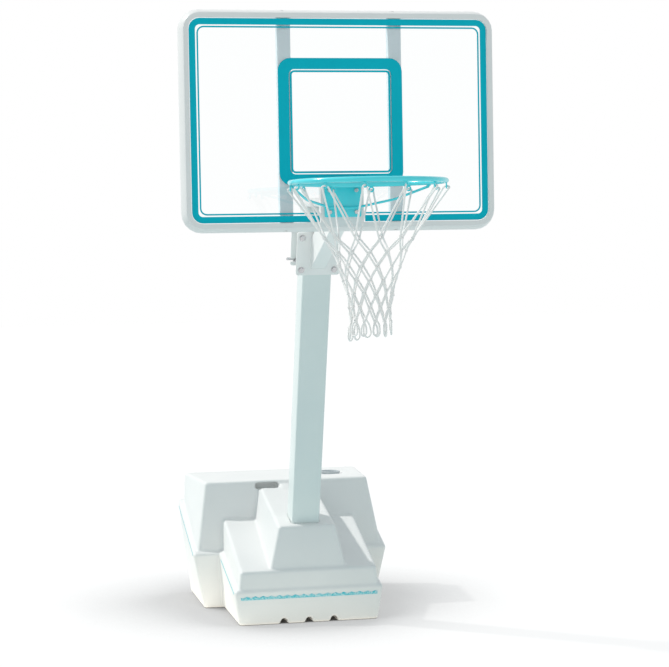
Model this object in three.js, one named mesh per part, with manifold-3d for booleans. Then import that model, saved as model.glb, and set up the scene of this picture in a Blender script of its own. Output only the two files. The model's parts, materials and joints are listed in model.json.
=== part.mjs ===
// Free-standing poolside basketball hoop. Millimetres, +Z up, the pool and the shooter are towards -Y.
// X = 0 is the plane of symmetry and the origin is the middle of the tank's footprint on the floor.
import * as THREE from "three";
import Module from "manifold-3d";
import { mergeVertices } from "three/addons/utils/BufferGeometryUtils.js";
import { ConvexGeometry } from "three/addons/geometries/ConvexGeometry.js";

const wasm = await Module();
wasm.setup();

// Sizes shared by the whole part
const SEAT_GAP = 0.3; // left between two pieces that touch
const CUT_OVER = 20; // how far a cutting body runs past what it cuts
const WELD_STEP = 0.001; // points closer than this are one point
const SMOOTH_STEPS = 3; // facets in a quarter turn of a moulded edge
const HUB_STEPS = 16; // sides of washers and hubs
const WHEEL_STEPS = 20; // sides of the wheels
const ARC_STEPS = 5; // facets in a corner of a flat outline
const BOLT_STEPS = 10; // sides of bolts, screws and their holes
const HEX_SIDES = 6;
const GRIP_STEPS = 4; // points of a cap's outline for each finger grip
const WAVE_STEPS = 4; // points of the printed band for each wave
const RING_STEPS = 48; // facets round the ring
const ROD_STEPS = 8; // sides of the ring's rod and the brace rod
const EYE_STEPS = 8;
const WIRE_STEPS = 4;
const FLANGE_STEPS = 10;
const BRACE_STEPS = 26;

// Pole
const POLE_LEAN_DEG = 18.2; // the pole leans forward, over the water
const POLE_SIZE = 101.6;
const POLE_WALL = 3.2;
const POLE_CORNER = 9;
const POLE_FLOOR_Y = -184.5; // where its axis would meet the floor
const POLE_FOOT = 158; // from that point to the pole's lower end, along the axis
const POLE_LENGTH = 1424;
const CAP_PLATE = 5;
const CAP_PLUG = 28;

// Tank
const TANK_ROUND = 11; // radius of its moulded edges
const SLAB_HALF_TOP = 272;
const SLAB_HALF_FOOT = 257;
const SLAB_FRONT_Y = -410;
const SLAB_FOOT_Y = -394;
const SLAB_FRONT_HEIGHT = 130;
const WING_HALF_TOP = 370;
const WING_HALF_FOOT = 331;
const WING_FRONT_Y = -41;
const WING_FOOT_Y = -4;
const WING_FRONT_HEIGHT = 216;
const WING_RISE = 151; // its parting ledge climbs this much from front to rear
const REAR_TOP_Y = 420;
const REAR_FOOT_Y = 384;
const TIER_SIDE_STEP = 11; // width of the ledge beside the tier
const TIER_DRAFT = 10; // its top is this much narrower, on each side
const TIER_STEP = 6; // width of the ledge in front of the tier
const TIER_FRONT_HEIGHT = 198;
const TIER_REAR_HEIGHT = 357;
const HUMP_HALF_FOOT = 140; // where its front meets the tier
const HUMP_HALF_TOP = 107;
const HUMP_FRONT_HEIGHT = 353;
const HUMP_REAR_HEIGHT = 458;
const HUMP_RAKE = 22; // its front leans back this much over its whole height
const DECK_HEIGHT = 472;
const DECK_INSET_FRONT = 55; // its front corners lie this far inside the wings
const DECK_INSET_REAR = 25;
const DECK_FRONT_Y = 28;
const DECK_REAR_Y = 396;
const BLOCK_STEP = 16; // width of the ledge round the upper block
const SPINE_HALF_FRONT = 45;
const SPINE_HALF_REAR = 25;
const SPINE_SINK = 60;
const POCKET_INNER = 31;
const POCKET_OUTER = 122;
const POCKET_FLOOR = 438;
const POCKET_TOP = 464;
const POCKET_DEPTH = 42;
const GROOVE_SPACING = 92;
const GROOVE_WIDTH = 26;
const GROOVE_HEIGHT = 21;
const GROOVE_FLARE = 4;
const GROOVE_LENGTH = 240;

// Fill cap and drain plug
const FILL_X = 200;
const FILL_Y = 200;
const FILL_RADIUS = 43;
const FILL_NECK_RADIUS = 32;
const FILL_NECK_DEPTH = 24;
const FILL_WELL_RADIUS = 54;
const FILL_WELL_DEPTH = 14;
const FILL_HEIGHT = 20;
const FILL_GRIP = 4;
const GRIP_COUNT = 12;
const DRAIN_HEIGHT = 52;
const DRAIN_RADIUS = 19;
const DRAIN_NECK_RADIUS = 12;
const DRAIN_NECK_DEPTH = 20;
const DRAIN_WELL_RADIUS = 31;
const DRAIN_WELL_DEPTH = 17;
const DRAIN_HEAD = 14;

// Transport wheels
const WHEEL_RADIUS = 52;
const WHEEL_WIDTH = 34;
const WHEEL_X = 250;
const WHEEL_LIFT = 3; // it clears the floor until the tank is tipped
const WHEEL_PROUD = 13; // it reaches past the rear wall
const WHEEL_HUB = 15;
const WHEEL_DISH = 7;
const WHEEL_TREAD = 14;
const WELL_SIDE_GAP = 5;
const WELL_ROUND_GAP = 8;
const AXLE_RADIUS = 6;
const AXLE_GRIP = 16; // length of axle in each cheek

// Clamp on the pole
const CLAMP_BELOW_TOP = 163; // from the pole's upper end down to its middle
const CLAMP_WIDTH = 152;
const CLAMP_HEIGHT = 155;
const CLAMP_PLATE = 6;
const CLAMP_CORNER = 8;
const CLAMP_BOLT_X = 57.5;
const CLAMP_BOLT_Z = 58;
const BOLT_RADIUS = 5;
const BOLT_HOLE_GAP = 0.6;
const BOLT_HEAD_RADIUS = 9.6;
const BOLT_HEAD = 6.5;
const BOLT_WASHER_RADIUS = 11;
const BOLT_WASHER = 1.8;
const HANDLE_HUB_RADIUS = 10;
const HANDLE_HUB = 20;
const HANDLE_BAR_RADIUS = 5;
const HANDLE_BAR_LENGTH = 62;
const BOLT_TAIL = 6; // bolt beyond the handle's hub

// Arm between clamp and board
const ARM_REACH = 371; // from the clamp plate's middle to the head plate, level
const ARM_WIDTH = 50;
const ARM_WALL = 4;
const ARM_FOOT_LOW = 54; // below the clamp's middle, along the pole
const ARM_FOOT_HIGH = 62;
const HEAD_WIDTH = 130;
const HEAD_HEIGHT = 126;
const HEAD_PLATE = 6;
const ARM_HEAD_MARGIN = 5;

// Board: heights are measured from the plane of the rim
const RIM_ABOVE_CLAMP = 216;
const BOARD_DROP = 133.5; // rim plane to the frame's lower edge
const FRAME_WIDTH = 1016;
const FRAME_HEIGHT = 691;
const FRAME_DEPTH = 42;
const FRAME_DRAFT = 11; // it grows this much to the rear, on each side
const FRAME_CORNER = 55;
const FRAME_FACE = 18; // width of the frame's front face
const FRAME_LIP = 6;
const FRAME_REBATE = 10;
const FRAME_EDGE = 3; // small chamfer of the front edge
const TAB_FACE = 12; // depth of the tab's rounded front
const TAB_WIDTH = 140;
const TAB_TOP = 2; // above the rim plane
const PANEL_THICK = 4.6;
const PANEL_GAP = 0.8;
const FILM_THICK = 0.6;
const BORDER_BAND = 20.5;
const BORDER_SPACE = 4.5;
const BORDER_LINE = 5;
const BORDER_MARGIN = 2;
const SQUARE_WIDTH = 408;
const SQUARE_LOW = 4; // its lower edge above the rim plane
const SQUARE_TOP_GAP = 95.5; // from its upper edge to the printed line
const SQUARE_BAND = 36;
const SQUARE_SPACE = 3.2;
const SQUARE_LINE = 6.4;
const SQUARE_CORNER = 42;
const STRUT_X = 182;
const STRUT_WIDTH = 43;
const STRUT_DEPTH = 29;
const STRUT_WALL = 3;
const BEAD_WIDTH = 9;
const BEAD_THICK = 7;
const SCREW_RADIUS = 3;
const SCREW_HEAD_RADIUS = 6;
const SCREW_HEAD = 3.4;
const SCREW_LENGTH = 20;
const SCREW_SINK = 2; // its head lies this far below the frame's edge

// Rim
const RIM_REACH = 381; // board front to the middle of the ring
const RING_BORE = 457.2;
const RING_ROD = 15.9;
const BRACKET_WIDTH = 120;
const BRACKET_DROP = 99; // below the rim plane
const BRACKET_PLATE = 5;
const BRACKET_BOLT_X = 44;
const BRACKET_BOLT_HIGH = 12.5; // below the rim plane
const BRACKET_BOLT_LOW = 83;
const RIM_BOLT_RADIUS = 4;
const RIM_BOLT_HEAD_RADIUS = 7.4;
const RIM_BOLT_HEAD = 5.3;
const NUT_RADIUS = 7.4;
const NUT_THICK = 6.5;
const BRACE_RADIUS = 4;
const BRACE_DROP = 70; // middle of the brace rod below the rim plane
const BRACE_BEND_X = 40;
const BRACE_BEND = 16; // each bend starts and ends this far from its corner
const BRACE_WAIST_X = 144;
const BRACE_WAIST_DROP = 46;
const BRACE_WAIST_OUT = 130;
const BRACE_END_DEG = 25; // its ends meet the ring this far behind the ring's sides
const EYE_COUNT = 12;
const EYE_RADIUS = 7;
const EYE_WIRE = 2.3;
const EYE_SINK = 1.2;

// Net
const CORD_RADIUS = 2.8;
const CORD_SIDES = 5;
const NET_FIRST_DROP = 171; // rim plane to the first row of knots
const NET_ROW_DROP = 40;
const NET_LOOP_DROP = 62;
const NET_LOOP_HALF = 9;
const NET_LEG_OUT = 10; // the legs turn down this far outside and inside an eye
const NET_LEG_DROP = 3.5; // below the cord's top
const NET_LEG_SPREAD = 4; // and this far to the eye's left and right
const CORD_GAP = 1.2; // between the cord and the eye's wire
const KNOT_RADIUS = 4.6;
const CORD_FINENESS = 1.7; // edges shorter than this are drawn together where cords meet
const NET_SWAY = 4; // hand-tied knots sit this far out of line at most
const NET_ROW_TURN = 7; // radians from row to row in the wave that sets the knots out of line
const NET_KNOT_TURN = 5; // and from knot to knot
const NET_WAIST_shares = [0.583, 0.472, 0.4, 0.345, 0.295, 0.264, 0.262];
const NET_END_share = 0.272;

// Printed films on the tank
const BAND_HALF = 250;
const BAND_LOW = 94;
const BAND_HIGH = 105;
const BAND_WAVE = 3;
const BAND_WAVES = 17;
const STRIPE_WIDTH = 5;
const STRIPE_BELOW = 17;
const STRIPE_END_GAP = 24;

// Finishes
const finish = (color, roughness, metalness) =>
  new THREE.MeshStandardMaterial({ color, roughness, metalness });
const whitePlastic = finish(0xf2f1ed, 0.5, 0);
const whitePaint = finish(0xe6edec, 0.38, 0.1);
const greyPlastic = finish(0xc6d2d6, 0.45, 0);
const tealPaint = finish(0x3fb7c6, 0.32, 0.2);
const tealFilm = finish(0x0aa0b4, 0.4, 0);
const clearSheet = finish(0xe4f2f5, 0.06, 0);
const steel = finish(0xb9bec2, 0.35, 0.9);
const cordWhite = finish(0xf4f5f3, 0.85, 0);
const darkRubber = finish(0x4a4f52, 0.8, 0);

// Helpers
const rad = THREE.MathUtils.degToRad;
const half = (size) => size / 2;
const quarterTurn = rad(90);
const fullTurn = 2 * Math.PI;
const sides = [["left", -1], ["right", 1]];
const group = new THREE.Group();
group.name = "poolside_basketball_hoop";

function toSolid(geometry) {
  let g = geometry.clone();
  g.deleteAttribute("normal");
  g.deleteAttribute("uv");
  g = mergeVertices(g, WELD_STEP);
  const mesh = new wasm.Mesh({
    numProp: 3,
    vertProperties: new Float32Array(g.attributes.position.array),
    triVerts: new Uint32Array(g.index.array),
  });
  return new wasm.Manifold(mesh);
}

function toGeometry(solid) {
  const mesh = solid.getMesh();
  const g = new THREE.BufferGeometry();
  g.setAttribute("position", new THREE.BufferAttribute(new Float32Array(mesh.vertProperties), 3));
  g.setIndex(new THREE.BufferAttribute(new Uint32Array(mesh.triVerts), 1));
  return g;
}

const join = (first, ...rest) => rest.reduce((sum, g) => sum.add(toSolid(g)), toSolid(first));
const cut = (solid, ...tools) => tools.reduce((left, g) => left.subtract(toSolid(g)), solid);

function add(name, shape, material, matrix) {
  let g = shape.isBufferGeometry ? shape : toGeometry(shape);
  if (matrix) g = g.clone().applyMatrix4(matrix);
  g = g.index ? g.toNonIndexed() : g;
  g.computeVertexNormals();
  const mesh = new THREE.Mesh(g, material);
  mesh.name = name;
  group.add(mesh);
  return mesh;
}

// Rounded rectangle in the XY plane, as a shape or a hole
function roundRect(width, height, radius, cx = 0, cy = 0, Kind = THREE.Shape) {
  const w = half(width);
  const h = half(height);
  const r = Math.min(radius, w, h);
  const outline = [];
  for (const [sx, sy, start] of [[1, -1, -90], [1, 1, 0], [-1, 1, 90], [-1, -1, 180]]) {
    for (let i = 0; i <= ARC_STEPS; i++) {
      const a = rad(start + (90 * i) / ARC_STEPS);
      const x = cx + sx * (w - r) + r * Math.cos(a);
      outline.push(new THREE.Vector2(x, cy + sy * (h - r) + r * Math.sin(a)));
    }
  }
  return new Kind(outline);
}

const polygon = (points) => new THREE.Shape(points.map(([a, b]) => new THREE.Vector2(a, b)));
const circle = (radius, x, y, steps) => {
  const points = [];
  for (let i = 0; i < steps; i++) {
    const a = (fullTurn * i) / steps;
    points.push(new THREE.Vector2(x + radius * Math.cos(a), y + radius * Math.sin(a)));
  }
  return points;
};
const hole = (radius, x, y, steps = BOLT_STEPS) => new THREE.Path(circle(radius, x, y, steps));

const extrude = (shape, depth) =>
  new THREE.ExtrudeGeometry(shape, { depth, bevelEnabled: false, curveSegments: 1 });
// A shape drawn in X and Z, standing from y to y + depth
const upright = (shape, depth, y) => extrude(shape, depth).rotateX(quarterTurn).translate(0, y + depth, 0);
// A shape drawn in Y and Z, centred on X = 0
const sideways = (shape, width, x = 0) =>
  extrude(shape, width).rotateX(quarterTurn).rotateZ(quarterTurn).translate(x - half(width), 0, 0);
// A turned piece: the profile's points are radius and height
const lathe = (points, steps) => {
  const profile = points.map(([r, z]) => new THREE.Vector2(r, z));
  return new THREE.LatheGeometry(profile, steps).rotateX(quarterTurn);
};
const box = (w, d, h, x, y, z) => new THREE.BoxGeometry(w, d, h).translate(x, y, z);

// A path of straight runs with each inner corner rounded off
function bentPath(points, trim) {
  const path = new THREE.CurvePath();
  let from = points[0];
  for (let i = 1; i + 1 < points.length; i++) {
    const toward = (p) => points[i].clone().add(p.clone().sub(points[i]).setLength(trim));
    const start = toward(points[i - 1]);
    const end = toward(points[i + 1]);
    path.add(new THREE.LineCurve3(from, start));
    path.add(new THREE.QuadraticBezierCurve3(start, points[i], end));
    from = end;
  }
  path.add(new THREE.LineCurve3(from, points[points.length - 1]));
  return path;
}

// Convex moulding from its sharp corners, with every edge rounded; grow moves all its faces out alike
function moulded(corners, radius, grow = 0) {
  const middle = corners.reduce((sum, c) => sum.add(new THREE.Vector3(...c)), new THREE.Vector3());
  middle.divideScalar(corners.length);
  const steps = SMOOTH_STEPS;
  const points = [];
  for (const corner of corners) {
    const c = new THREE.Vector3(...corner);
    const sign = c.clone().sub(middle);
    sign.set(Math.sign(sign.x), Math.sign(sign.y), Math.sign(sign.z));
    const centre = c.clone().addScaledVector(sign, -radius);
    for (let i = 0; i <= steps; i++) {
      const rise = (quarterTurn * i) / steps;
      const count = i === steps ? 0 : steps - i;
      for (let j = 0; j <= count; j++) {
        const turn = count ? (quarterTurn * j) / count : 0;
        const flat = Math.cos(rise);
        const ball = new THREE.Vector3(flat * Math.cos(turn), flat * Math.sin(turn), Math.sin(rise));
        points.push(centre.clone().addScaledVector(ball.multiply(sign), radius + grow));
      }
    }
  }
  return new ConvexGeometry(points);
}
const both = (x, y, z) => [[-x, y, z], [x, y, z]];

// Places that pieces share
const lean = rad(POLE_LEAN_DEG);
const poleFrame = new THREE.Matrix4().makeTranslation(0, POLE_FLOOR_Y, 0)
  .multiply(new THREE.Matrix4().makeRotationX(lean));
const onPole = (x, y, z) => new THREE.Vector3(x, y, z).applyMatrix4(poleFrame);
const poleTop = POLE_FOOT + POLE_LENGTH; // along the pole, from its floor point
const clampPos = poleTop - CLAMP_BELOW_TOP;
const clampFace = half(POLE_SIZE) + SEAT_GAP + CLAMP_PLATE;
const clampMiddle = onPole(0, -clampFace, clampPos);
const rimZ = clampMiddle.z + RIM_ABOVE_CLAMP;
const headRearY = clampMiddle.y - ARM_REACH;
const headFrontY = headRearY - HEAD_PLATE;
const frameRearY = headFrontY - SEAT_GAP;
const boardY = frameRearY - FRAME_DEPTH;
const boardZ = rimZ - BOARD_DROP + half(FRAME_HEIGHT);
const rimY = boardY - RIM_REACH;
const ringRadius = half(RING_BORE + RING_ROD);
const headTop = rimZ + TAB_TOP - HEAD_PLATE;
const wingRearHeight = WING_FRONT_HEIGHT + WING_RISE;
const rearWallY = (z) => THREE.MathUtils.mapLinear(z, 0, wingRearHeight, REAR_FOOT_Y, REAR_TOP_Y);

// Tank
function slabBody(grow) {
  const rise = (WING_FRONT_HEIGHT - SLAB_FRONT_HEIGHT) / (WING_FRONT_Y - SLAB_FRONT_Y);
  const endY = DECK_FRONT_Y + POCKET_DEPTH;
  const endTop = SLAB_FRONT_HEIGHT + rise * (endY - SLAB_FRONT_Y);
  return moulded([
    ...both(SLAB_HALF_FOOT, SLAB_FOOT_Y, 0),
    ...both(SLAB_HALF_TOP, SLAB_FRONT_Y, SLAB_FRONT_HEIGHT),
    ...both(SLAB_HALF_FOOT, endY, 0),
    ...both(SLAB_HALF_TOP, endY, endTop),
  ], TANK_ROUND, grow);
}

function wingBody(grow) {
  return moulded([
    ...both(WING_HALF_FOOT, WING_FOOT_Y, 0),
    ...both(WING_HALF_TOP, WING_FRONT_Y, WING_FRONT_HEIGHT),
    ...both(WING_HALF_FOOT, REAR_FOOT_Y, 0),
    ...both(WING_HALF_TOP, REAR_TOP_Y, wingRearHeight),
  ], TANK_ROUND, grow);
}

function tankSolid() {
  const tierFrontY = SLAB_FRONT_Y + TIER_STEP;
  const tierFoot = SLAB_HALF_TOP - TIER_SIDE_STEP;
  const tierTop = tierFoot - TIER_DRAFT;
  const deepY = DECK_FRONT_Y + POCKET_DEPTH;
  const sunk = half(SLAB_FRONT_HEIGHT);
  const tier = moulded([
    ...both(tierFoot, tierFrontY, sunk),
    ...both(tierTop, tierFrontY, TIER_FRONT_HEIGHT),
    ...both(tierFoot, deepY, sunk),
    ...both(tierTop, deepY, TIER_REAR_HEIGHT),
  ], TANK_ROUND);
  const humpFlare = (HUMP_HALF_FOOT - HUMP_HALF_TOP) / (HUMP_FRONT_HEIGHT - TIER_FRONT_HEIGHT);
  const humpFoot = (height) => HUMP_HALF_TOP + humpFlare * (height - sunk);
  const hump = moulded([
    ...both(humpFoot(HUMP_FRONT_HEIGHT), tierFrontY, sunk),
    ...both(HUMP_HALF_TOP, tierFrontY + HUMP_RAKE, HUMP_FRONT_HEIGHT),
    ...both(humpFoot(HUMP_REAR_HEIGHT), deepY, sunk),
    ...both(HUMP_HALF_TOP, deepY, HUMP_REAR_HEIGHT),
  ], TANK_ROUND);
  const block = moulded([
    ...both(WING_HALF_TOP - BLOCK_STEP, WING_FRONT_Y + BLOCK_STEP, WING_FRONT_HEIGHT - TANK_ROUND),
    ...both(WING_HALF_TOP - DECK_INSET_FRONT, DECK_FRONT_Y, DECK_HEIGHT),
    ...both(WING_HALF_TOP - BLOCK_STEP, REAR_TOP_Y - BLOCK_STEP, WING_FRONT_HEIGHT - TANK_ROUND),
    ...both(WING_HALF_TOP - DECK_INSET_REAR, DECK_REAR_Y, DECK_HEIGHT),
  ], TANK_ROUND);
  const spineY = onPole(0, half(POLE_SIZE), POLE_FOOT).y + TANK_ROUND;
  const spine = moulded([
    ...both(SPINE_HALF_FRONT, spineY, HUMP_FRONT_HEIGHT - SPINE_SINK),
    ...both(SPINE_HALF_FRONT, spineY, HUMP_FRONT_HEIGHT + TANK_ROUND),
    ...both(SPINE_HALF_REAR, deepY, DECK_HEIGHT - SPINE_SINK),
    ...both(SPINE_HALF_REAR, deepY, DECK_HEIGHT),
  ], TANK_ROUND);
  let tank = join(slabBody(0), wingBody(0), tier, hump, block, spine);

  // socket that the pole stands in
  const socketLength = DECK_HEIGHT + CUT_OVER;
  const socketSize = POLE_SIZE + 2 * SEAT_GAP;
  const socket = extrude(roundRect(socketSize, socketSize, POLE_CORNER), socketLength)
    .translate(0, 0, POLE_FOOT - SEAT_GAP).applyMatrix4(poleFrame);
  tank = cut(tank, socket);

  // hand-hold pockets under the deck's front edge, left and right of the spine
  const pocketWidth = POCKET_OUTER - POCKET_INNER;
  const pocketHeight = POCKET_TOP - POCKET_FLOOR;
  for (const [, side] of sides) {
    const x = side * half(POCKET_OUTER + POCKET_INNER);
    const z = half(POCKET_TOP + POCKET_FLOOR);
    const outline = roundRect(pocketWidth, pocketHeight, half(pocketHeight), x, z);
    tank = cut(tank, upright(outline, POCKET_DEPTH + CUT_OVER, DECK_FRONT_Y - CUT_OVER));
  }

  // three drain grooves under the front edge, flared at the floor
  for (const place of [-1, 0, 1]) {
    const w = half(GROOVE_WIDTH);
    const arch = circle(w, 0, GROOVE_HEIGHT - w, BOLT_STEPS).filter((p) => p.y >= GROOVE_HEIGHT - w);
    const outline = new THREE.Shape([
      new THREE.Vector2(w + GROOVE_FLARE, -CUT_OVER),
      new THREE.Vector2(w + GROOVE_FLARE, 0),
      new THREE.Vector2(w, half(GROOVE_FLARE)),
      ...arch,
      new THREE.Vector2(-w, half(GROOVE_FLARE)),
      new THREE.Vector2(-w - GROOVE_FLARE, 0),
      new THREE.Vector2(-w - GROOVE_FLARE, -CUT_OVER),
    ]);
    const groove = upright(outline, GROOVE_LENGTH, SLAB_FRONT_Y - CUT_OVER);
    tank = cut(tank, groove.translate(place * GROOVE_SPACING, 0, 0));
  }

  // threaded neck for the fill cap in its well, and the drain
  const fillNeck = FILL_NECK_RADIUS + SEAT_GAP;
  const fillBottom = -FILL_WELL_DEPTH - FILL_NECK_DEPTH - SEAT_GAP;
  const well = lathe([
    [0, fillBottom], [fillNeck, fillBottom], [fillNeck, -FILL_WELL_DEPTH],
    [FILL_WELL_RADIUS, -FILL_WELL_DEPTH], [FILL_WELL_RADIUS, CUT_OVER], [0, CUT_OVER],
  ], 2 * GRIP_COUNT);
  tank = cut(tank, well.translate(FILL_X, FILL_Y, DECK_HEIGHT));
  const drainNeck = DRAIN_NECK_RADIUS + SEAT_GAP;
  const drainBottom = -DRAIN_WELL_DEPTH - DRAIN_NECK_DEPTH - SEAT_GAP;
  const drain = lathe([
    [0, drainBottom], [drainNeck, drainBottom], [drainNeck, -DRAIN_WELL_DEPTH],
    [DRAIN_WELL_RADIUS, -DRAIN_WELL_DEPTH], [DRAIN_WELL_RADIUS, CUT_OVER], [0, CUT_OVER],
  ], 2 * GRIP_COUNT).rotateX(-quarterTurn);
  tank = cut(tank, drain.translate(0, rearWallY(DRAIN_HEIGHT), DRAIN_HEIGHT));

  // arched wells for the transport wheels, with bores for their axles
  for (const [, side] of sides) {
    const width = WHEEL_WIDTH + 2 * WELL_SIDE_GAP;
    const radius = WHEEL_RADIUS + WELL_ROUND_GAP;
    const arch = new THREE.CylinderGeometry(radius, radius, width, 2 * GRIP_COUNT).rotateZ(quarterTurn);
    const mouth = box(width, radius, 2 * radius, 0, half(radius), 0);
    const floorCut = box(width, 2 * radius, radius, 0, 0, -half(radius));
    const bore = new THREE.CylinderGeometry(AXLE_RADIUS + SEAT_GAP, AXLE_RADIUS + SEAT_GAP,
      width + 2 * (AXLE_GRIP + SEAT_GAP), BOLT_STEPS).rotateZ(quarterTurn);
    for (const tool of [arch, mouth, floorCut, bore]) {
      tank = cut(tank, tool.translate(side * WHEEL_X, wheelY, wheelZ));
    }
  }
  return tank;
}

const wheelZ = WHEEL_RADIUS + WHEEL_LIFT;
const wheelY = rearWallY(wheelZ) + WHEEL_PROUD - WHEEL_RADIUS;
add("tank", tankSolid(), whitePlastic);

// a round cap with finger grips: a disc with scallops cut from its rim
function grippedHead(radius, height, neck, neckDepth) {
  const scallop = [];
  const steps = GRIP_COUNT * GRIP_STEPS;
  for (let i = 0; i < steps; i++) {
    const a = (fullTurn * i) / steps;
    const dip = i % GRIP_STEPS === 0 ? half(FILL_GRIP) : 0;
    scallop.push(new THREE.Vector2((radius - dip) * Math.cos(a), (radius - dip) * Math.sin(a)));
  }
  const head = extrude(new THREE.Shape(scallop), height);
  const stem = new THREE.CylinderGeometry(neck, neck, neckDepth + half(height), 2 * GRIP_COUNT)
    .rotateX(quarterTurn).translate(0, 0, half(half(height) - neckDepth));
  return join(head, stem);
}
const grip = FILL_GRIP * 2;
const fillBar = box(2 * FILL_RADIUS - grip, grip, FILL_GRIP + half(FILL_GRIP), 0, 0, FILL_HEIGHT - FILL_GRIP);
const fillDish = lathe([
  [0, FILL_HEIGHT - FILL_GRIP], [FILL_RADIUS - grip, FILL_HEIGHT - FILL_GRIP],
  [FILL_RADIUS - FILL_GRIP, FILL_HEIGHT + CUT_OVER], [0, FILL_HEIGHT + CUT_OVER],
], 2 * GRIP_COUNT);
const fillCap = cut(grippedHead(FILL_RADIUS, FILL_HEIGHT, FILL_NECK_RADIUS, FILL_NECK_DEPTH), fillDish)
  .add(toSolid(fillBar));
add("fill_cap", fillCap, greyPlastic,
  new THREE.Matrix4().makeTranslation(FILL_X, FILL_Y, DECK_HEIGHT - FILL_WELL_DEPTH + SEAT_GAP));
const drainPlug = grippedHead(DRAIN_RADIUS, DRAIN_HEAD, DRAIN_NECK_RADIUS, DRAIN_NECK_DEPTH);
add("drain_plug", drainPlug, greyPlastic,
  new THREE.Matrix4().makeTranslation(0, rearWallY(DRAIN_HEIGHT) - DRAIN_WELL_DEPTH + SEAT_GAP, DRAIN_HEIGHT)
    .multiply(new THREE.Matrix4().makeRotationX(-quarterTurn)));

// wheels with a raised tread, a dished web and a hub
for (const [side, sign] of sides) {
  const w = half(WHEEL_WIDTH);
  const bore = AXLE_RADIUS + SEAT_GAP;
  const rim = WHEEL_RADIUS - WHEEL_TREAD;
  const edge = half(WHEEL_DISH);
  const web = w - WHEEL_DISH;
  const wheel = lathe([
    [bore, -w], [WHEEL_HUB, -w], [WHEEL_HUB + edge, -web], [rim - edge, -web], [rim, -w],
    [WHEEL_RADIUS - edge, -w], [WHEEL_RADIUS, -w + edge], [WHEEL_RADIUS, w - edge], [WHEEL_RADIUS - edge, w],
    [rim, w], [rim - edge, web], [WHEEL_HUB + edge, web], [WHEEL_HUB, w], [bore, w], [bore, -w],
  ], WHEEL_STEPS).rotateY(quarterTurn).translate(sign * WHEEL_X, wheelY, wheelZ);
  add(`wheel_${side}`, wheel, darkRubber);
  const axleLength = WHEEL_WIDTH + 2 * (WELL_SIDE_GAP + AXLE_GRIP);
  const axle = new THREE.CylinderGeometry(AXLE_RADIUS, AXLE_RADIUS, axleLength, BOLT_STEPS)
    .rotateZ(quarterTurn).translate(sign * WHEEL_X, wheelY, wheelZ);
  add(`wheel_axle_${side}`, axle, steel);
}

// printed films that follow the tank's faces: the slice between two grown copies of a body
function film(body, region) {
  return toSolid(body(SEAT_GAP + FILM_THICK)).subtract(toSolid(body(SEAT_GAP))).intersect(toSolid(region));
}
function waveBand() {
  const outline = [new THREE.Vector2(-BAND_HALF, BAND_LOW), new THREE.Vector2(BAND_HALF, BAND_LOW)];
  const steps = BAND_WAVES * WAVE_STEPS;
  for (let i = 0; i <= steps; i++) {
    const x = BAND_HALF - (2 * BAND_HALF * i) / steps;
    const lift = BAND_WAVE * Math.sin((fullTurn * i * BAND_WAVES) / steps);
    outline.push(new THREE.Vector2(x, BAND_HIGH + lift));
  }
  return upright(new THREE.Shape(outline), 2 * CUT_OVER, SLAB_FRONT_Y - CUT_OVER);
}
add("front_wave_film", film(slabBody, waveBand()), tealFilm);
const stripeRuns = [
  ["slab", slabBody, SLAB_HALF_TOP, SLAB_FRONT_Y, SLAB_FRONT_HEIGHT, WING_FRONT_Y, WING_FRONT_HEIGHT],
  ["wing", wingBody, WING_HALF_TOP, WING_FRONT_Y, WING_FRONT_HEIGHT, REAR_TOP_Y, wingRearHeight],
];
for (const [part, body, reach, y0, z0, y1, z1] of stripeRuns) {
  for (const [side, sign] of sides) {
    const slope = (z1 - z0) / (y1 - y0);
    const start = y0 + STRIPE_END_GAP;
    const end = y1 - STRIPE_END_GAP;
    const low = z0 - STRIPE_BELOW - STRIPE_WIDTH;
    const run = polygon([
      [start, low + slope * (start - y0)], [end, low + slope * (end - y0)],
      [end, low + STRIPE_WIDTH + slope * (end - y0)], [start, low + STRIPE_WIDTH + slope * (start - y0)],
    ]);
    add(`${part}_stripe_film_${side}`, film(body, sideways(run, 2 * CUT_OVER, sign * reach)), tealFilm);
  }
}

// Pole
const poleOutline = roundRect(POLE_SIZE, POLE_SIZE, POLE_CORNER);
const poleInner = POLE_SIZE - 2 * POLE_WALL;
poleOutline.holes.push(roundRect(poleInner, poleInner, POLE_CORNER - POLE_WALL, 0, 0, THREE.Path));
add("pole", extrude(poleOutline, POLE_LENGTH).translate(0, 0, POLE_FOOT), whitePaint, poleFrame);
const plugSize = poleInner - 2 * SEAT_GAP;
const plugShape = roundRect(plugSize, plugSize, POLE_CORNER - POLE_WALL - SEAT_GAP);
const capPlug = extrude(plugShape, CAP_PLUG + half(CAP_PLATE)).translate(0, 0, poleTop - CAP_PLUG);
const capCore = plugSize - 2 * POLE_WALL;
const capHollow = extrude(roundRect(capCore, capCore, POLE_WALL), CAP_PLUG)
  .translate(0, 0, poleTop - CAP_PLUG - SEAT_GAP);
const capTop = moulded([
  ...[-1, 1].flatMap((y) => both(half(POLE_SIZE), y * half(POLE_SIZE), poleTop + SEAT_GAP)),
  ...[-1, 1].flatMap((y) => both(half(POLE_SIZE), y * half(POLE_SIZE), poleTop + SEAT_GAP + CAP_PLATE)),
], half(CAP_PLATE));
add("pole_cap", cut(join(capTop, capPlug), capHollow), greyPlastic, poleFrame);

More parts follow.
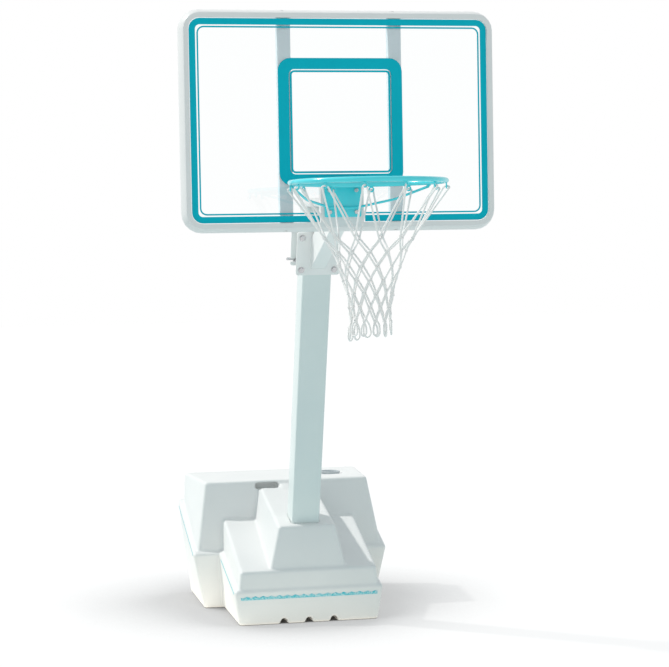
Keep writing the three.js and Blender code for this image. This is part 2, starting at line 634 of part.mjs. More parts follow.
// Clamp
const clampBolts = [];
for (const [side, sx] of sides) {
  for (const [level, sz] of [["lower", -1], ["upper", 1]]) {
    clampBolts.push([`${side}_${level}`, sx * CLAMP_BOLT_X, clampPos + sz * CLAMP_BOLT_Z]);
  }
}
const boltHole = BOLT_RADIUS + BOLT_HOLE_GAP;
const frontPlate = roundRect(CLAMP_WIDTH, CLAMP_HEIGHT, CLAMP_CORNER, 0, clampPos);
for (const [, x, z] of clampBolts) frontPlate.holes.push(hole(boltHole, x, z));
add("clamp_plate_front", upright(frontPlate, CLAMP_PLATE, -clampFace), whitePaint, poleFrame);

// the rear plate's bolt slots are open to the sides, so that it drops off when the handles are loosened
const rearFace = half(POLE_SIZE) + SEAT_GAP;
const rearShape = roundRect(CLAMP_WIDTH, CLAMP_HEIGHT, CLAMP_CORNER, 0, clampPos);
let rearPlate = toSolid(upright(rearShape, CLAMP_PLATE, rearFace));
for (const [, x, z] of clampBolts) {
  const sign = Math.sign(x);
  const reach = half(CLAMP_WIDTH) + CUT_OVER - Math.abs(x);
  const y = rearFace + half(CLAMP_PLATE);
  const slot = box(reach, CLAMP_PLATE + CUT_OVER, 2 * boltHole, x + sign * half(reach), y, z);
  const round = new THREE.CylinderGeometry(boltHole, boltHole, CLAMP_PLATE + CUT_OVER, BOLT_STEPS)
    .translate(x, y, z);
  rearPlate = cut(rearPlate, slot, round);
}
add("clamp_plate_rear", rearPlate, whitePaint, poleFrame);

// hex bolts with washers from the front, T-handle nuts behind
const handleY = rearFace + CLAMP_PLATE + SEAT_GAP;
const hexHead = (radius, height, shankRadius, length) => {
  const head = new THREE.CylinderGeometry(radius, radius, height, HEX_SIDES).translate(0, -half(height), 0);
  const shank = new THREE.CylinderGeometry(shankRadius, shankRadius, length + half(height), BOLT_STEPS)
    .translate(0, half(length - half(height)), 0);
  return [head, shank];
};
const boltLength = handleY + HANDLE_HUB + BOLT_TAIL + clampFace;
for (const [place, x, z] of clampBolts) {
  const [head, shank] = hexHead(BOLT_HEAD_RADIUS, BOLT_HEAD, BOLT_RADIUS, boltLength);
  const washer = new THREE.CylinderGeometry(BOLT_WASHER_RADIUS, BOLT_WASHER_RADIUS, BOLT_WASHER, HUB_STEPS)
    .translate(0, -half(BOLT_WASHER), 0);
  const bolt = join(head.translate(0, -half(BOLT_WASHER), 0), washer, shank);
  add(`clamp_bolt_${place}`, bolt.translate([x, -clampFace - SEAT_GAP, z]), steel, poleFrame);
  const hub = new THREE.CylinderGeometry(HANDLE_HUB_RADIUS, HANDLE_HUB_RADIUS, HANDLE_HUB, HUB_STEPS)
    .translate(0, half(HANDLE_HUB), 0);
  const bar = new THREE.CylinderGeometry(HANDLE_BAR_RADIUS, HANDLE_BAR_RADIUS, HANDLE_BAR_LENGTH, BOLT_STEPS)
    .rotateZ(quarterTurn).translate(0, half(HANDLE_HUB), 0);
  const bore = new THREE.CylinderGeometry(boltHole, boltHole, HANDLE_HUB + CUT_OVER, BOLT_STEPS)
    .translate(0, half(HANDLE_HUB), 0);
  add(`clamp_handle_${place}`, cut(join(hub, bar), bore).translate([x, handleY, z]), steel, poleFrame);
}

// Arm
const armLow = onPole(0, -clampFace - SEAT_GAP, clampPos - ARM_FOOT_LOW);
const armHigh = onPole(0, -clampFace - SEAT_GAP, clampPos + ARM_FOOT_HIGH);
const armFrontY = headRearY + SEAT_GAP;
const armTopZ = headTop - ARM_HEAD_MARGIN;
const armLowZ = headTop - HEAD_HEIGHT + ARM_HEAD_MARGIN;
const armOutline = polygon([
  [armLow.y, armLow.z], [armFrontY, armLowZ], [armFrontY, armTopZ], [armHigh.y, armHigh.z],
]);
const armSlope = Math.atan2(armLowZ - armLow.z, armLow.y - armFrontY);
const armFloor = ARM_WALL / Math.cos(armSlope);
const armHollow = polygon([
  [armLow.y + CUT_OVER, armLow.z + armFloor - CUT_OVER * Math.tan(armSlope)],
  [armFrontY - CUT_OVER, armLowZ + armFloor + CUT_OVER * Math.tan(armSlope)],
  [armFrontY - CUT_OVER, armTopZ + CUT_OVER], [armHigh.y + CUT_OVER, armHigh.z + CUT_OVER],
]);
const arm = cut(toSolid(sideways(armOutline, ARM_WIDTH)), sideways(armHollow, ARM_WIDTH - 2 * ARM_WALL));
add("arm_channel", arm, whitePaint);

const rimBolts = [];
for (const [side, sx] of sides) {
  for (const [level, drop] of [["lower", BRACKET_BOLT_LOW], ["upper", BRACKET_BOLT_HIGH]]) {
    rimBolts.push([`${side}_${level}`, sx * BRACKET_BOLT_X, rimZ - drop]);
  }
}
const rimBoltHole = RIM_BOLT_RADIUS + BOLT_HOLE_GAP;
const headShape = roundRect(HEAD_WIDTH, HEAD_HEIGHT, CLAMP_CORNER, 0, headTop - half(HEAD_HEIGHT));
for (const [, x, z] of rimBolts) headShape.holes.push(hole(rimBoltHole, x, z));
add("arm_head_plate", upright(headShape, HEAD_PLATE, headFrontY), whitePaint);

// Board frame
// loops of a rounded rectangle joined one behind the other, each [grow, y]
function drafted(width, height, corner, steps) {
  const rings = steps.map(([grow, y]) => {
    const outline = roundRect(width + 2 * grow, height + 2 * grow, corner + grow, 0, boardZ);
    return outline.getPoints().map((p) => [p.x, y, p.y]);
  });
  const count = rings[0].length;
  const positions = rings.flat(2);
  const index = [];
  for (let k = 0; k + 1 < rings.length; k++) {
    for (let i = 0; i < count; i++) {
      const j = (i + 1) % count;
      const a = k * count;
      const b = a + count;
      index.push(a + i, b + j, a + j, a + i, b + i, b + j);
    }
  }
  const last = (rings.length - 1) * count;
  for (let i = 1; i + 1 < count; i++) index.push(0, i, i + 1, last, last + i + 1, last + i);
  const g = new THREE.BufferGeometry();
  g.setAttribute("position", new THREE.Float32BufferAttribute(positions, 3));
  g.setIndex(index);
  return g;
}
const openWidth = FRAME_WIDTH - 2 * FRAME_FACE;
const openHeight = FRAME_HEIGHT - 2 * FRAME_FACE;
const openCorner = FRAME_CORNER - FRAME_FACE;
const seatWidth = openWidth + 2 * FRAME_REBATE;
const seatHeight = openHeight + 2 * FRAME_REBATE;
const frameBody = drafted(FRAME_WIDTH, FRAME_HEIGHT, FRAME_CORNER,
  [[-FRAME_EDGE, boardY], [0, boardY + FRAME_EDGE], [FRAME_DRAFT, frameRearY]]);
const throughDepth = FRAME_DEPTH + 2 * CUT_OVER;
const windowShape = roundRect(openWidth, openHeight, openCorner, 0, boardZ);
const window = upright(windowShape, throughDepth, boardY - CUT_OVER);
const seatShape = roundRect(seatWidth, seatHeight, openCorner + FRAME_REBATE, 0, boardZ);
const seat = upright(seatShape, FRAME_DEPTH + CUT_OVER, boardY + FRAME_LIP);
const tabTopZ = rimZ + TAB_TOP;
const tabFootZ = boardZ - half(seatHeight) - half(FRAME_FACE - FRAME_REBATE);
const tab = box(TAB_WIDTH, FRAME_DEPTH - FRAME_EDGE, tabTopZ - tabFootZ,
  0, boardY + half(FRAME_DEPTH + FRAME_EDGE), half(tabTopZ + tabFootZ));
const tabFace = moulded([
  ...both(half(TAB_WIDTH), boardY, tabFootZ), ...both(half(TAB_WIDTH), boardY, tabTopZ),
  ...both(half(TAB_WIDTH), boardY + TAB_FACE, tabFootZ), ...both(half(TAB_WIDTH), boardY + TAB_FACE, tabTopZ),
], FRAME_EDGE);
let frame = cut(toSolid(frameBody), window, seat).add(toSolid(tab)).add(toSolid(tabFace));
for (const [, x, z] of rimBolts) {
  const shaft = new THREE.Shape(circle(rimBoltHole, x, z, BOLT_STEPS));
  frame = cut(frame, upright(shaft, throughDepth, boardY - CUT_OVER));
}

// clear panel behind the lip, notched for the tab
const panelY = boardY + FRAME_LIP + SEAT_GAP;
const notch = (grow, y, depth) => {
  const height = boardZ - tabFootZ;
  return box(TAB_WIDTH + 2 * grow, depth, height, 0, y + half(depth), tabTopZ + grow - half(height));
};
const panelShape = roundRect(seatWidth - 2 * PANEL_GAP, seatHeight - 2 * PANEL_GAP,
  openCorner + FRAME_REBATE - PANEL_GAP, 0, boardZ);
const panelNotch = notch(PANEL_GAP, panelY - CUT_OVER, 2 * CUT_OVER + PANEL_THICK);
const panel = cut(toSolid(upright(panelShape, PANEL_THICK, panelY)), panelNotch);
add("clear_panel", panel, clearSheet);

// printed bands on the front of the panel
const filmY = panelY - SEAT_GAP - FILM_THICK;
function loopFilm(width, height, corner, band, z) {
  const shape = roundRect(width, height, corner, 0, z);
  const inner = Math.max(corner - band, half(band));
  shape.holes.push(roundRect(width - 2 * band, height - 2 * band, inner, 0, z, THREE.Path));
  return toSolid(upright(shape, FILM_THICK, filmY));
}
const tabGap = notch(BORDER_SPACE, filmY - CUT_OVER, 2 * CUT_OVER);
const borderInset = BORDER_BAND + BORDER_SPACE;
const borderWidth = openWidth - 2 * BORDER_MARGIN;
const borderHeight = openHeight - 2 * BORDER_MARGIN;
const borderCorner = openCorner - BORDER_MARGIN;
const borderBand = loopFilm(borderWidth, borderHeight, borderCorner, BORDER_BAND, boardZ);
add("border_band_film", cut(borderBand, tabGap), tealFilm);
const borderLine = loopFilm(borderWidth - 2 * borderInset, borderHeight - 2 * borderInset,
  borderCorner - half(borderInset), BORDER_LINE, boardZ);
add("border_line_film", cut(borderLine, tabGap), tealFilm);
const squareLow = rimZ + SQUARE_LOW;
const squareTop = boardZ + half(borderHeight) - borderInset - BORDER_LINE - SQUARE_TOP_GAP;
const squareHeight = squareTop - squareLow;
const squareZ = half(squareTop + squareLow);
const squareInset = SQUARE_BAND + SQUARE_SPACE;
add("target_band_film", loopFilm(SQUARE_WIDTH, squareHeight, SQUARE_CORNER, SQUARE_BAND, squareZ), tealFilm);
add("target_line_film", loopFilm(SQUARE_WIDTH - 2 * squareInset, squareHeight - 2 * squareInset,
  half(SQUARE_BAND) - SQUARE_SPACE, SQUARE_LINE, squareZ), tealFilm);

// glazing bead that presses the panel against the lip, open below for the tab
const beadY = panelY + PANEL_THICK + SEAT_GAP;
const beadWidth = seatWidth - 2 * SEAT_GAP;
const beadHeight = seatHeight - 2 * SEAT_GAP;
const beadShape = roundRect(beadWidth, beadHeight, openCorner + FRAME_REBATE - SEAT_GAP, 0, boardZ);
const beadInnerWidth = beadWidth - 2 * BEAD_WIDTH;
const beadInnerHeight = beadHeight - 2 * BEAD_WIDTH;
beadShape.holes.push(roundRect(beadInnerWidth, beadInnerHeight, openCorner, 0, boardZ, THREE.Path));
const beadNotch = notch(PANEL_GAP, beadY - CUT_OVER, 2 * CUT_OVER);
add("glazing_bead", cut(toSolid(upright(beadShape, BEAD_THICK, beadY)), beadNotch), greyPlastic);

// channel struts behind the panel; their ends step over the bead and are screwed to the frame
const strutHalf = half(seatHeight) - SEAT_GAP;
const strutRear = beadY + STRUT_DEPTH;
const beadClear = BEAD_WIDTH + 2 * SEAT_GAP;
const strutSide = (rear, wall) => {
  const face = beadY + wall;
  const step = beadY + BEAD_THICK + SEAT_GAP + wall;
  const end = strutHalf - wall;
  const inner = end - beadClear;
  return polygon([
    [face, boardZ - inner], [face, boardZ + inner], [step, boardZ + inner], [step, boardZ + end],
    [rear, boardZ + end], [rear, boardZ - end], [step, boardZ - end], [step, boardZ - inner],
  ]);
};
const screwY = beadY + half(BEAD_THICK + STRUT_DEPTH);
const screwDraft = (FRAME_DRAFT * (screwY - boardY - FRAME_EDGE)) / (FRAME_DEPTH - FRAME_EDGE);
for (const [side, sign] of sides) {
  const x = sign * STRUT_X;
  const skin = toSolid(sideways(strutSide(strutRear, 0), STRUT_WIDTH, x));
  const hollow = sideways(strutSide(strutRear + CUT_OVER, STRUT_WALL), STRUT_WIDTH - 2 * STRUT_WALL, x);
  let strut = cut(skin, hollow);
  for (const [level, end] of [["lower", -1], ["upper", 1]]) {
    const z = boardZ + end * (half(FRAME_HEIGHT) + screwDraft - SCREW_SINK);
    const shaft = new THREE.CylinderGeometry(SCREW_RADIUS + BOLT_HOLE_GAP, SCREW_RADIUS + BOLT_HOLE_GAP,
      2 * (SCREW_LENGTH + CUT_OVER), BOLT_STEPS).rotateX(quarterTurn).translate(x, screwY, z);
    const pad = new THREE.CylinderGeometry(SCREW_HEAD_RADIUS + SEAT_GAP, SCREW_HEAD_RADIUS + SEAT_GAP,
      SCREW_HEAD + CUT_OVER, BOLT_STEPS).rotateX(quarterTurn)
      .translate(x, screwY, z + end * half(CUT_OVER - SCREW_HEAD));
    strut = cut(strut, shaft);
    frame = cut(frame, shaft, pad);
    const head = new THREE.CylinderGeometry(SCREW_HEAD_RADIUS, SCREW_HEAD_RADIUS, SCREW_HEAD, BOLT_STEPS)
      .rotateX(quarterTurn).translate(x, screwY, z - end * (half(SCREW_HEAD) - SEAT_GAP));
    const screw = new THREE.CylinderGeometry(SCREW_RADIUS, SCREW_RADIUS, SCREW_LENGTH, BOLT_STEPS)
      .rotateX(quarterTurn).translate(x, screwY, z - end * (half(SCREW_LENGTH) - SEAT_GAP));
    add(`strut_screw_${side}_${level}`, join(head, screw), steel);
  }
  add(`strut_${side}`, strut, greyPlastic);
}
add("board_frame", frame, greyPlastic);

// Rim
// ring of round rod with twelve net eyes welded under it
const ring = new THREE.TorusGeometry(ringRadius, half(RING_ROD), ROD_STEPS, RING_STEPS);
const eyeDrop = half(RING_ROD) + EYE_RADIUS + EYE_WIRE - EYE_SINK;
const eyeStep = fullTurn / EYE_COUNT;
const eyeAngle = (i) => -quarterTurn + eyeStep * (i + 1 / 2);
let rim = toSolid(ring);
for (let i = 0; i < EYE_COUNT; i++) {
  const eye = new THREE.TorusGeometry(EYE_RADIUS, EYE_WIRE, WIRE_STEPS, EYE_STEPS).rotateX(quarterTurn)
    .rotateZ(quarterTurn).translate(ringRadius, 0, -eyeDrop).rotateZ(eyeAngle(i));
  rim = rim.add(toSolid(eye));
}
add("rim_ring", rim, tealPaint, new THREE.Matrix4().makeTranslation(0, rimY, rimZ));

// bracket: an upright plate with a flange that ends along the ring
const bracketY = boardY - SEAT_GAP - BRACKET_PLATE;
const plateShape = roundRect(BRACKET_WIDTH, BRACKET_DROP + half(BRACKET_PLATE), BRACKET_PLATE, 0,
  rimZ + half(half(BRACKET_PLATE) - BRACKET_DROP));
for (const [, x, z] of rimBolts) plateShape.holes.push(hole(rimBoltHole, x, z));
const ringOut = ringRadius + half(RING_ROD) + SEAT_GAP;
const flange = [];
const flangeHalf = half(BRACKET_WIDTH) - BRACKET_PLATE;
for (let i = 0; i <= FLANGE_STEPS; i++) {
  const x = flangeHalf - (2 * flangeHalf * i) / FLANGE_STEPS;
  flange.push(new THREE.Vector2(x, rimY + Math.sqrt(ringOut * ringOut - x * x)));
}
flange.push(new THREE.Vector2(-half(BRACKET_WIDTH), bracketY + BRACKET_PLATE));
flange.push(new THREE.Vector2(half(BRACKET_WIDTH), bracketY + BRACKET_PLATE));
const flangeBody = extrude(new THREE.Shape(flange), BRACKET_PLATE)
  .translate(0, 0, rimZ - half(BRACKET_PLATE));
add("rim_bracket", join(upright(plateShape, BRACKET_PLATE, bracketY), flangeBody), tealPaint);

// through bolts with nuts behind the head plate
const gripLength = headRearY + SEAT_GAP - (bracketY - SEAT_GAP);
const rimBoltLength = gripLength + NUT_THICK + 2 * SEAT_GAP + RIM_BOLT_RADIUS;
for (const [place, x, z] of rimBolts) {
  const [head, shank] = hexHead(RIM_BOLT_HEAD_RADIUS, RIM_BOLT_HEAD, RIM_BOLT_RADIUS, rimBoltLength);
  add(`rim_bolt_${place}`, join(head, shank).translate([x, bracketY - SEAT_GAP, z]), steel);
  const nutShape = new THREE.Shape(circle(NUT_RADIUS, x, z, HEX_SIDES));
  nutShape.holes.push(hole(rimBoltHole, x, z));
  add(`rim_nut_${place}`, upright(nutShape, NUT_THICK, headRearY + SEAT_GAP), steel);
}

// brace rod: one bent rod from the ring, under the bracket and back to the ring
const braceLift = half(RING_ROD) + BRACE_RADIUS + SEAT_GAP;
const endTurn = rad(BRACE_END_DEG);
const braceEnd = [ringRadius * Math.cos(endTurn), rimY + ringRadius * Math.sin(endTurn), rimZ - braceLift];
const bracePoints = [
  [-braceEnd[0], braceEnd[1], braceEnd[2]],
  [-BRACE_WAIST_X, bracketY - BRACE_WAIST_OUT, rimZ - BRACE_WAIST_DROP],
  [-BRACE_BEND_X, bracketY - BRACE_RADIUS - SEAT_GAP, rimZ - BRACE_DROP],
  [BRACE_BEND_X, bracketY - BRACE_RADIUS - SEAT_GAP, rimZ - BRACE_DROP],
  [BRACE_WAIST_X, bracketY - BRACE_WAIST_OUT, rimZ - BRACE_WAIST_DROP],
  braceEnd,
].map((p) => new THREE.Vector3(...p));
const brace = new THREE.ExtrudeGeometry(new THREE.Shape(circle(BRACE_RADIUS, 0, 0, ROD_STEPS)),
  { steps: BRACE_STEPS, extrudePath: bentPath(bracePoints, BRACE_BEND), bevelEnabled: false });
add("rim_brace_rod", brace, tealPaint);

// Net
// rows of knots: every second row is turned by half a step, each knot a little out of line
const netRows = NET_WAIST_shares.length;
const sway = (row, i) => NET_SWAY * Math.sin(NET_ROW_TURN * row + NET_KNOT_TURN * i + row * i);
function knot(row, i) {
  const turn = eyeAngle(0) + eyeStep * (i + (row % 2 ? 0 : 1 / 2));
  const radius = ringRadius * NET_WAIST_shares[row] + half(sway(row, i));
  const drop = NET_FIRST_DROP + NET_ROW_DROP * row + sway(row, i + netRows);
  return new THREE.Vector3(radius * Math.cos(turn), radius * Math.sin(turn), -drop);
}
// a straight run of cord
function cord(a, b) {
  const run = new THREE.Vector3().subVectors(b, a);
  const turn = new THREE.Quaternion().setFromUnitVectors(new THREE.Vector3(0, 1, 0), run.clone().normalize());
  const g = new THREE.CylinderGeometry(CORD_RADIUS, CORD_RADIUS, run.length(), CORD_SIDES);
  return g.applyQuaternion(turn).translate(...run.multiplyScalar(1 / 2).add(a).toArray());
}
const up = new THREE.Vector3(0, 0, 1);
const blob = (p, radius) => new THREE.IcosahedronGeometry(radius, 0).translate(p.x, p.y, p.z);
const netPieces = [];
const link = (...points) => points.forEach((p, i) => i && netPieces.push(cord(points[i - 1], p)));
for (let i = 0; i < EYE_COUNT; i++) {
  // over the lower wire of the eye, one leg outside and one inside
  const turn = eyeAngle(i);
  const at = (out, drop, along) => new THREE.Vector3(ringRadius + out, along, -drop).applyAxisAngle(up, turn);
  const rest = eyeDrop + EYE_RADIUS - EYE_WIRE - CORD_RADIUS - CORD_GAP;
  const bend = rest + NET_LEG_DROP;
  const hung = [
    at(NET_LEG_OUT, bend, -NET_LEG_SPREAD), at(0, rest, 0), at(-NET_LEG_OUT, bend, NET_LEG_SPREAD),
  ];
  link(knot(0, i - 1), ...hung, knot(0, i));
  for (const p of hung) netPieces.push(blob(p, CORD_RADIUS));
  for (let row = 0; row < netRows; row++) {
    netPieces.push(blob(knot(row, i), KNOT_RADIUS));
    if (row + 1 < netRows) {
      const shift = row % 2 ? -1 : 1;
      link(knot(row, i), knot(row + 1, i));
      link(knot(row, i), knot(row + 1, i + shift));
    }
  }
  // hanging end loop
  const last = knot(netRows - 1, i);
  const endTurnAngle = Math.atan2(last.y, last.x);
  const endRadius = ringRadius * NET_END_share;
  const low = -last.z + NET_LOOP_DROP + sway(netRows, i);
  const spread = (NET_LOOP_HALF + half(sway(netRows, i))) / endRadius;
  const loopAt = (side, drop) => new THREE.Vector3(endRadius * Math.cos(endTurnAngle + side * spread),
    endRadius * Math.sin(endTurnAngle + side * spread), -drop);
  const wide = half(-last.z + low);
  const pointsLeft = loopAt(-1, wide);
  const pointsRight = loopAt(1, wide);
  const bottom = loopAt(0, low);
  link(last, pointsLeft, bottom, pointsRight, last);
  for (const p of [pointsLeft, pointsRight]) netPieces.push(blob(p, CORD_RADIUS));
  netPieces.push(blob(bottom, CORD_RADIUS + half(CORD_RADIUS)));
}
const knotted = wasm.Manifold.union(netPieces.map(toSolid)).asOriginal().simplify(CORD_FINENESS);
// the net is the largest body: a crumb that drawing edges together may leave is dropped
const [net] = knotted.decompose().sort((a, b) => b.volume() - a.volume());
add("net", net, cordWhite, new THREE.Matrix4().makeTranslation(0, rimY, rimZ));

export default group;
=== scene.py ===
# %% [markdown]
# # A poolside basketball hoop, dressed in Blender
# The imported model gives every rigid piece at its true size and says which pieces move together. This
# lesson keeps those shapes, rounds their edges, moulds the tank more softly, knots the net from real cord
# and gives each surface its own procedural finish. Lengths are in metres, and most are written times MM.

# %% Load the frame
import json
import math

import bmesh
import bpy
from mathutils import Matrix, Vector


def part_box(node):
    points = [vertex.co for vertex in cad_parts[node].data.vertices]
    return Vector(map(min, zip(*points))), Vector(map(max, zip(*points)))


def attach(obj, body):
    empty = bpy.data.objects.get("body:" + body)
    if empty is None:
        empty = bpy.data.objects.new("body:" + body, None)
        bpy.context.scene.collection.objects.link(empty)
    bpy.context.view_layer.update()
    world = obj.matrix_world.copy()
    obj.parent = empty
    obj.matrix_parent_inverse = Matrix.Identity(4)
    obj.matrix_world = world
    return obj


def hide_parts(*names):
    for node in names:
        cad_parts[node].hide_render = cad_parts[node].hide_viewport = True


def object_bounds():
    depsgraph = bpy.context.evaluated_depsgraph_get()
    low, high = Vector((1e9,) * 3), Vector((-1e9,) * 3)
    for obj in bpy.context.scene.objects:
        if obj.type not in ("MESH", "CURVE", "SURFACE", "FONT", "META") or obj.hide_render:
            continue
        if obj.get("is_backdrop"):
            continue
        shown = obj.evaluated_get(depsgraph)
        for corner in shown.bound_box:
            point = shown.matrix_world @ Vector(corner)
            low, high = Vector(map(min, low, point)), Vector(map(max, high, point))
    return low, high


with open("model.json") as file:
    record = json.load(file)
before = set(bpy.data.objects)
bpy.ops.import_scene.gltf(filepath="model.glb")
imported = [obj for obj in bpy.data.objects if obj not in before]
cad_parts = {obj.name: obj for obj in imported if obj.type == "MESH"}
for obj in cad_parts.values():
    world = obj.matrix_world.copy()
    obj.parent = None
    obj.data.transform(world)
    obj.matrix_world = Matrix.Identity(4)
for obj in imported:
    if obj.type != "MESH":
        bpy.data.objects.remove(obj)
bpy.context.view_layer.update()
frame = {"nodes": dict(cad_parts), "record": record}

MM = 0.001
nodes = frame["nodes"]
body_of_node = {n: body for body, members in frame["record"]["behaviour"]["bodies"].items() for n in members}
slot_of_node = {s["node"]: s["material_slot"] for s in frame["record"]["subparts"]}

# %% [markdown]
# ## The camera
# The photograph was taken from a little left of the hoop, from about 1.3 m above the deck and from more
# than seven metres away with a long lens. The ring, the board and the tank's edges fix that place. A
# camera that far off keeps upright lines nearly parallel, so its small roll has to be set as well as its
# aim.

# %% The camera
PHOTO_WIDTH = 669
FOCAL_PIXELS = 1950
CAMERA_PLACE = (-1.295, -7.265, 1.337)
CAMERA_TURN = math.radians(11.56)
CAMERA_DIP = math.radians(2.41)
CAMERA_ROLL = math.radians(-0.98)
SENSOR_WIDTH = 36  # in mm, as Blender counts it
SIGHT_LIMIT = 100  # the camera sees this far, in metres


def make_camera():
    forward = Vector((math.sin(CAMERA_TURN) * math.cos(CAMERA_DIP),
                      math.cos(CAMERA_TURN) * math.cos(CAMERA_DIP), -math.sin(CAMERA_DIP)))
    level = Vector((math.cos(CAMERA_TURN), -math.sin(CAMERA_TURN), 0))
    above = level.cross(forward)
    right = level * math.cos(CAMERA_ROLL) + above * math.sin(CAMERA_ROLL)
    up = above * math.cos(CAMERA_ROLL) - level * math.sin(CAMERA_ROLL)
    data = bpy.data.cameras.new("camera")
    data.sensor_width = SENSOR_WIDTH
    data.lens = FOCAL_PIXELS / PHOTO_WIDTH * data.sensor_width
    data.clip_end = SIGHT_LIMIT
    camera = bpy.data.objects.new("camera", data)
    bpy.context.scene.collection.objects.link(camera)
    turn = Matrix((right, up, -forward)).transposed().to_4x4()
    camera.matrix_world = Matrix.Translation(CAMERA_PLACE) @ turn
    bpy.context.scene.camera = camera
    return camera


camera = make_camera()
print("lens in mm", round(camera.data.lens, 1))

# %% [markdown]
# ## Helpers for meshes
# Four tools make nearly everything here. `dressed` copies a CAD node, joins its flat facets and rounds its
# sharp edges with a small bevel, because no real plate or moulding has a knife edge. `sweep` draws a tube
# along a path, for rod, cord and weld. `turned` makes a body as a lathe does, for bolts, handles and wheels.
# `place_piece` puts a finish on a piece, lets it ride on its body and hides the node it stands for.

# %% Helpers that make and place pieces
EDGE_ANGLE = math.radians(30)
FLAT_ANGLE = math.radians(1)
WELD_STEP = 0.01 * MM


def link_mesh(name, mesh):
    obj = bpy.data.objects.new(name, mesh)
    bpy.context.scene.collection.objects.link(obj)
    return obj


def mesh_of(name, points, faces):
    mesh = bpy.data.meshes.new(name)
    mesh.from_pydata([tuple(p) for p in points], [], faces)
    mesh.validate()
    mesh.shade_smooth()
    return link_mesh(name, mesh)


def welded_copy(node, name):
    bm = bmesh.new()
    bm.from_mesh(nodes[node].data)
    bmesh.ops.remove_doubles(bm, verts=bm.verts, dist=WELD_STEP)
    mesh = bpy.data.meshes.new(name)
    bm.to_mesh(mesh)
    bm.free()
    if "custom_normal" in mesh.attributes:
        mesh.attributes.remove(mesh.attributes["custom_normal"])
    mesh.materials.clear()
    mesh.shade_smooth()
    return link_mesh(name, mesh)


def applied(obj):
    """obj with its modifiers made real."""
    graph = bpy.context.evaluated_depsgraph_get()
    mesh = bpy.data.meshes.new_from_object(obj.evaluated_get(graph))
    obj.modifiers.clear()
    obj.data = mesh
    return obj


def bevelled(obj, width):
    """obj with every edge sharper than EDGE_ANGLE rounded."""
    edges = obj.modifiers.new("round_edges", "BEVEL")
    edges.width = width
    edges.segments = 2
    edges.limit_method = "ANGLE"
    edges.angle_limit = EDGE_ANGLE
    edges.harden_normals = True
    return applied(obj)


def dressed(node, edge):
    obj = welded_copy(node, node + "_piece")
    flat = obj.modifiers.new("join_flats", "DECIMATE")
    flat.decimate_type = "DISSOLVE"
    flat.angle_limit = FLAT_ANGLE
    return bevelled(obj, edge)


def place_piece(obj, material, body, replaced=()):
    """Give obj one material, let it ride on its body and hide the nodes that it replaces."""
    obj.data.materials.clear()
    obj.data.materials.append(material)
    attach(obj, body)
    if replaced:
        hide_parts(*replaced)
    return obj


# %% A tube along a path
def smooth_path(corners, step):
    """Points about one step apart on a Catmull-Rom curve through the corners."""
    last = len(corners) - 1
    path = []
    for k in range(last):
        a, b, c, d = (corners[min(max(k + shift, 0), last)] for shift in (-1, 0, 1, 2))
        parts = max(1, round((c - b).length / step))
        for j in range(parts):
            t = j / parts
            path.append(0.5 * (2 * b + (c - a) * t + (2 * a - 5 * b + 4 * c - d) * t ** 2
                               + (3 * b - a - 3 * c + d) * t ** 3))
    return path + [corners[-1].copy()]


def sweep(path, radius, sides, closed=False, lobes=0, lobe_depth=0.0, pitch=1.0):
    """Points and faces of a tube; radius is a length or a function of the share of the way along."""
    count = len(path)
    points, faces = [], []
    normal = None
    travelled = 0.0
    for k, place in enumerate(path):
        ahead = path[(k + 1) % count] if closed or k + 1 < count else place
        behind = path[k - 1] if closed or k else place
        along = (ahead - behind).normalized()
        if normal is None:
            normal = along.orthogonal().normalized()
        normal = (normal - along * normal.dot(along)).normalized()
        side = along.cross(normal)
        travelled += (place - path[k - 1]).length if k else 0.0
        size = radius(k / max(count - 1, 1)) if callable(radius) else radius
        for j in range(sides):
            turn = math.tau * j / sides
            lobe = 1 + lobe_depth * math.cos(lobes * (turn - math.tau * travelled / pitch))
            points.append(place + (normal * math.cos(turn) + side * math.sin(turn)) * size * lobe)
    for k in range(count if closed else count - 1):
        for j in range(sides):
            a, b = k * sides, (k + 1) % count * sides
            faces.append((a + j, a + (j + 1) % sides, b + (j + 1) % sides, b + j))
    if not closed:
        faces.append(tuple(reversed(range(sides))))
        faces.append(tuple(range((count - 1) * sides, count * sides)))
    return points, faces


def gathered(parts):
    """Several (points, faces) lists as one."""
    points, faces = [], []
    for more_points, more_faces in parts:
        start = len(points)
        points.extend(more_points)
        faces.extend(tuple(start + i for i in face) for face in more_faces)
    return points, faces


def turned(profile, place, axis, sides):
    """A body turned on a lathe from (distance along the axis, radius) points, which may close as a ring."""
    across = axis.orthogonal().normalized()
    other = axis.cross(across)
    points, faces = [], []
    for along, radius in profile:
        middle = place + axis * along
        for k in range(sides):
            angle = math.tau * k / sides
            points.append(middle + (across * math.cos(angle) + other * math.sin(angle)) * radius)
    for row in range(len(profile) - 1):
        for k in range(sides):
            a, b, n = row * sides, (row + 1) * sides, (k + 1) % sides
            faces.append((a + k, a + n, b + n, b + k))
    if profile[0] != profile[-1]:
        faces.append(tuple(reversed(range(sides))))
        faces.append(tuple(range(len(points) - sides, len(points))))
    else:
        points = points[:-sides]
        last = (len(profile) - 2) * sides
        faces = [tuple(i % (last + sides) for i in face) for face in faces]
    return points, faces


# %% [markdown]
# ## Finishes that several materials share
# A moulded or painted surface is never one flat colour. Three node groups carry the effects that come
# back in many materials. `mottle` drifts slowly between two close colours. `fine_grain` gives the height
# of a pebbled skin. `rub_marks` gives a mask of faint, stretched scratches. The shaders stay in each
# material, and a group only hands over colours, masks and heights.

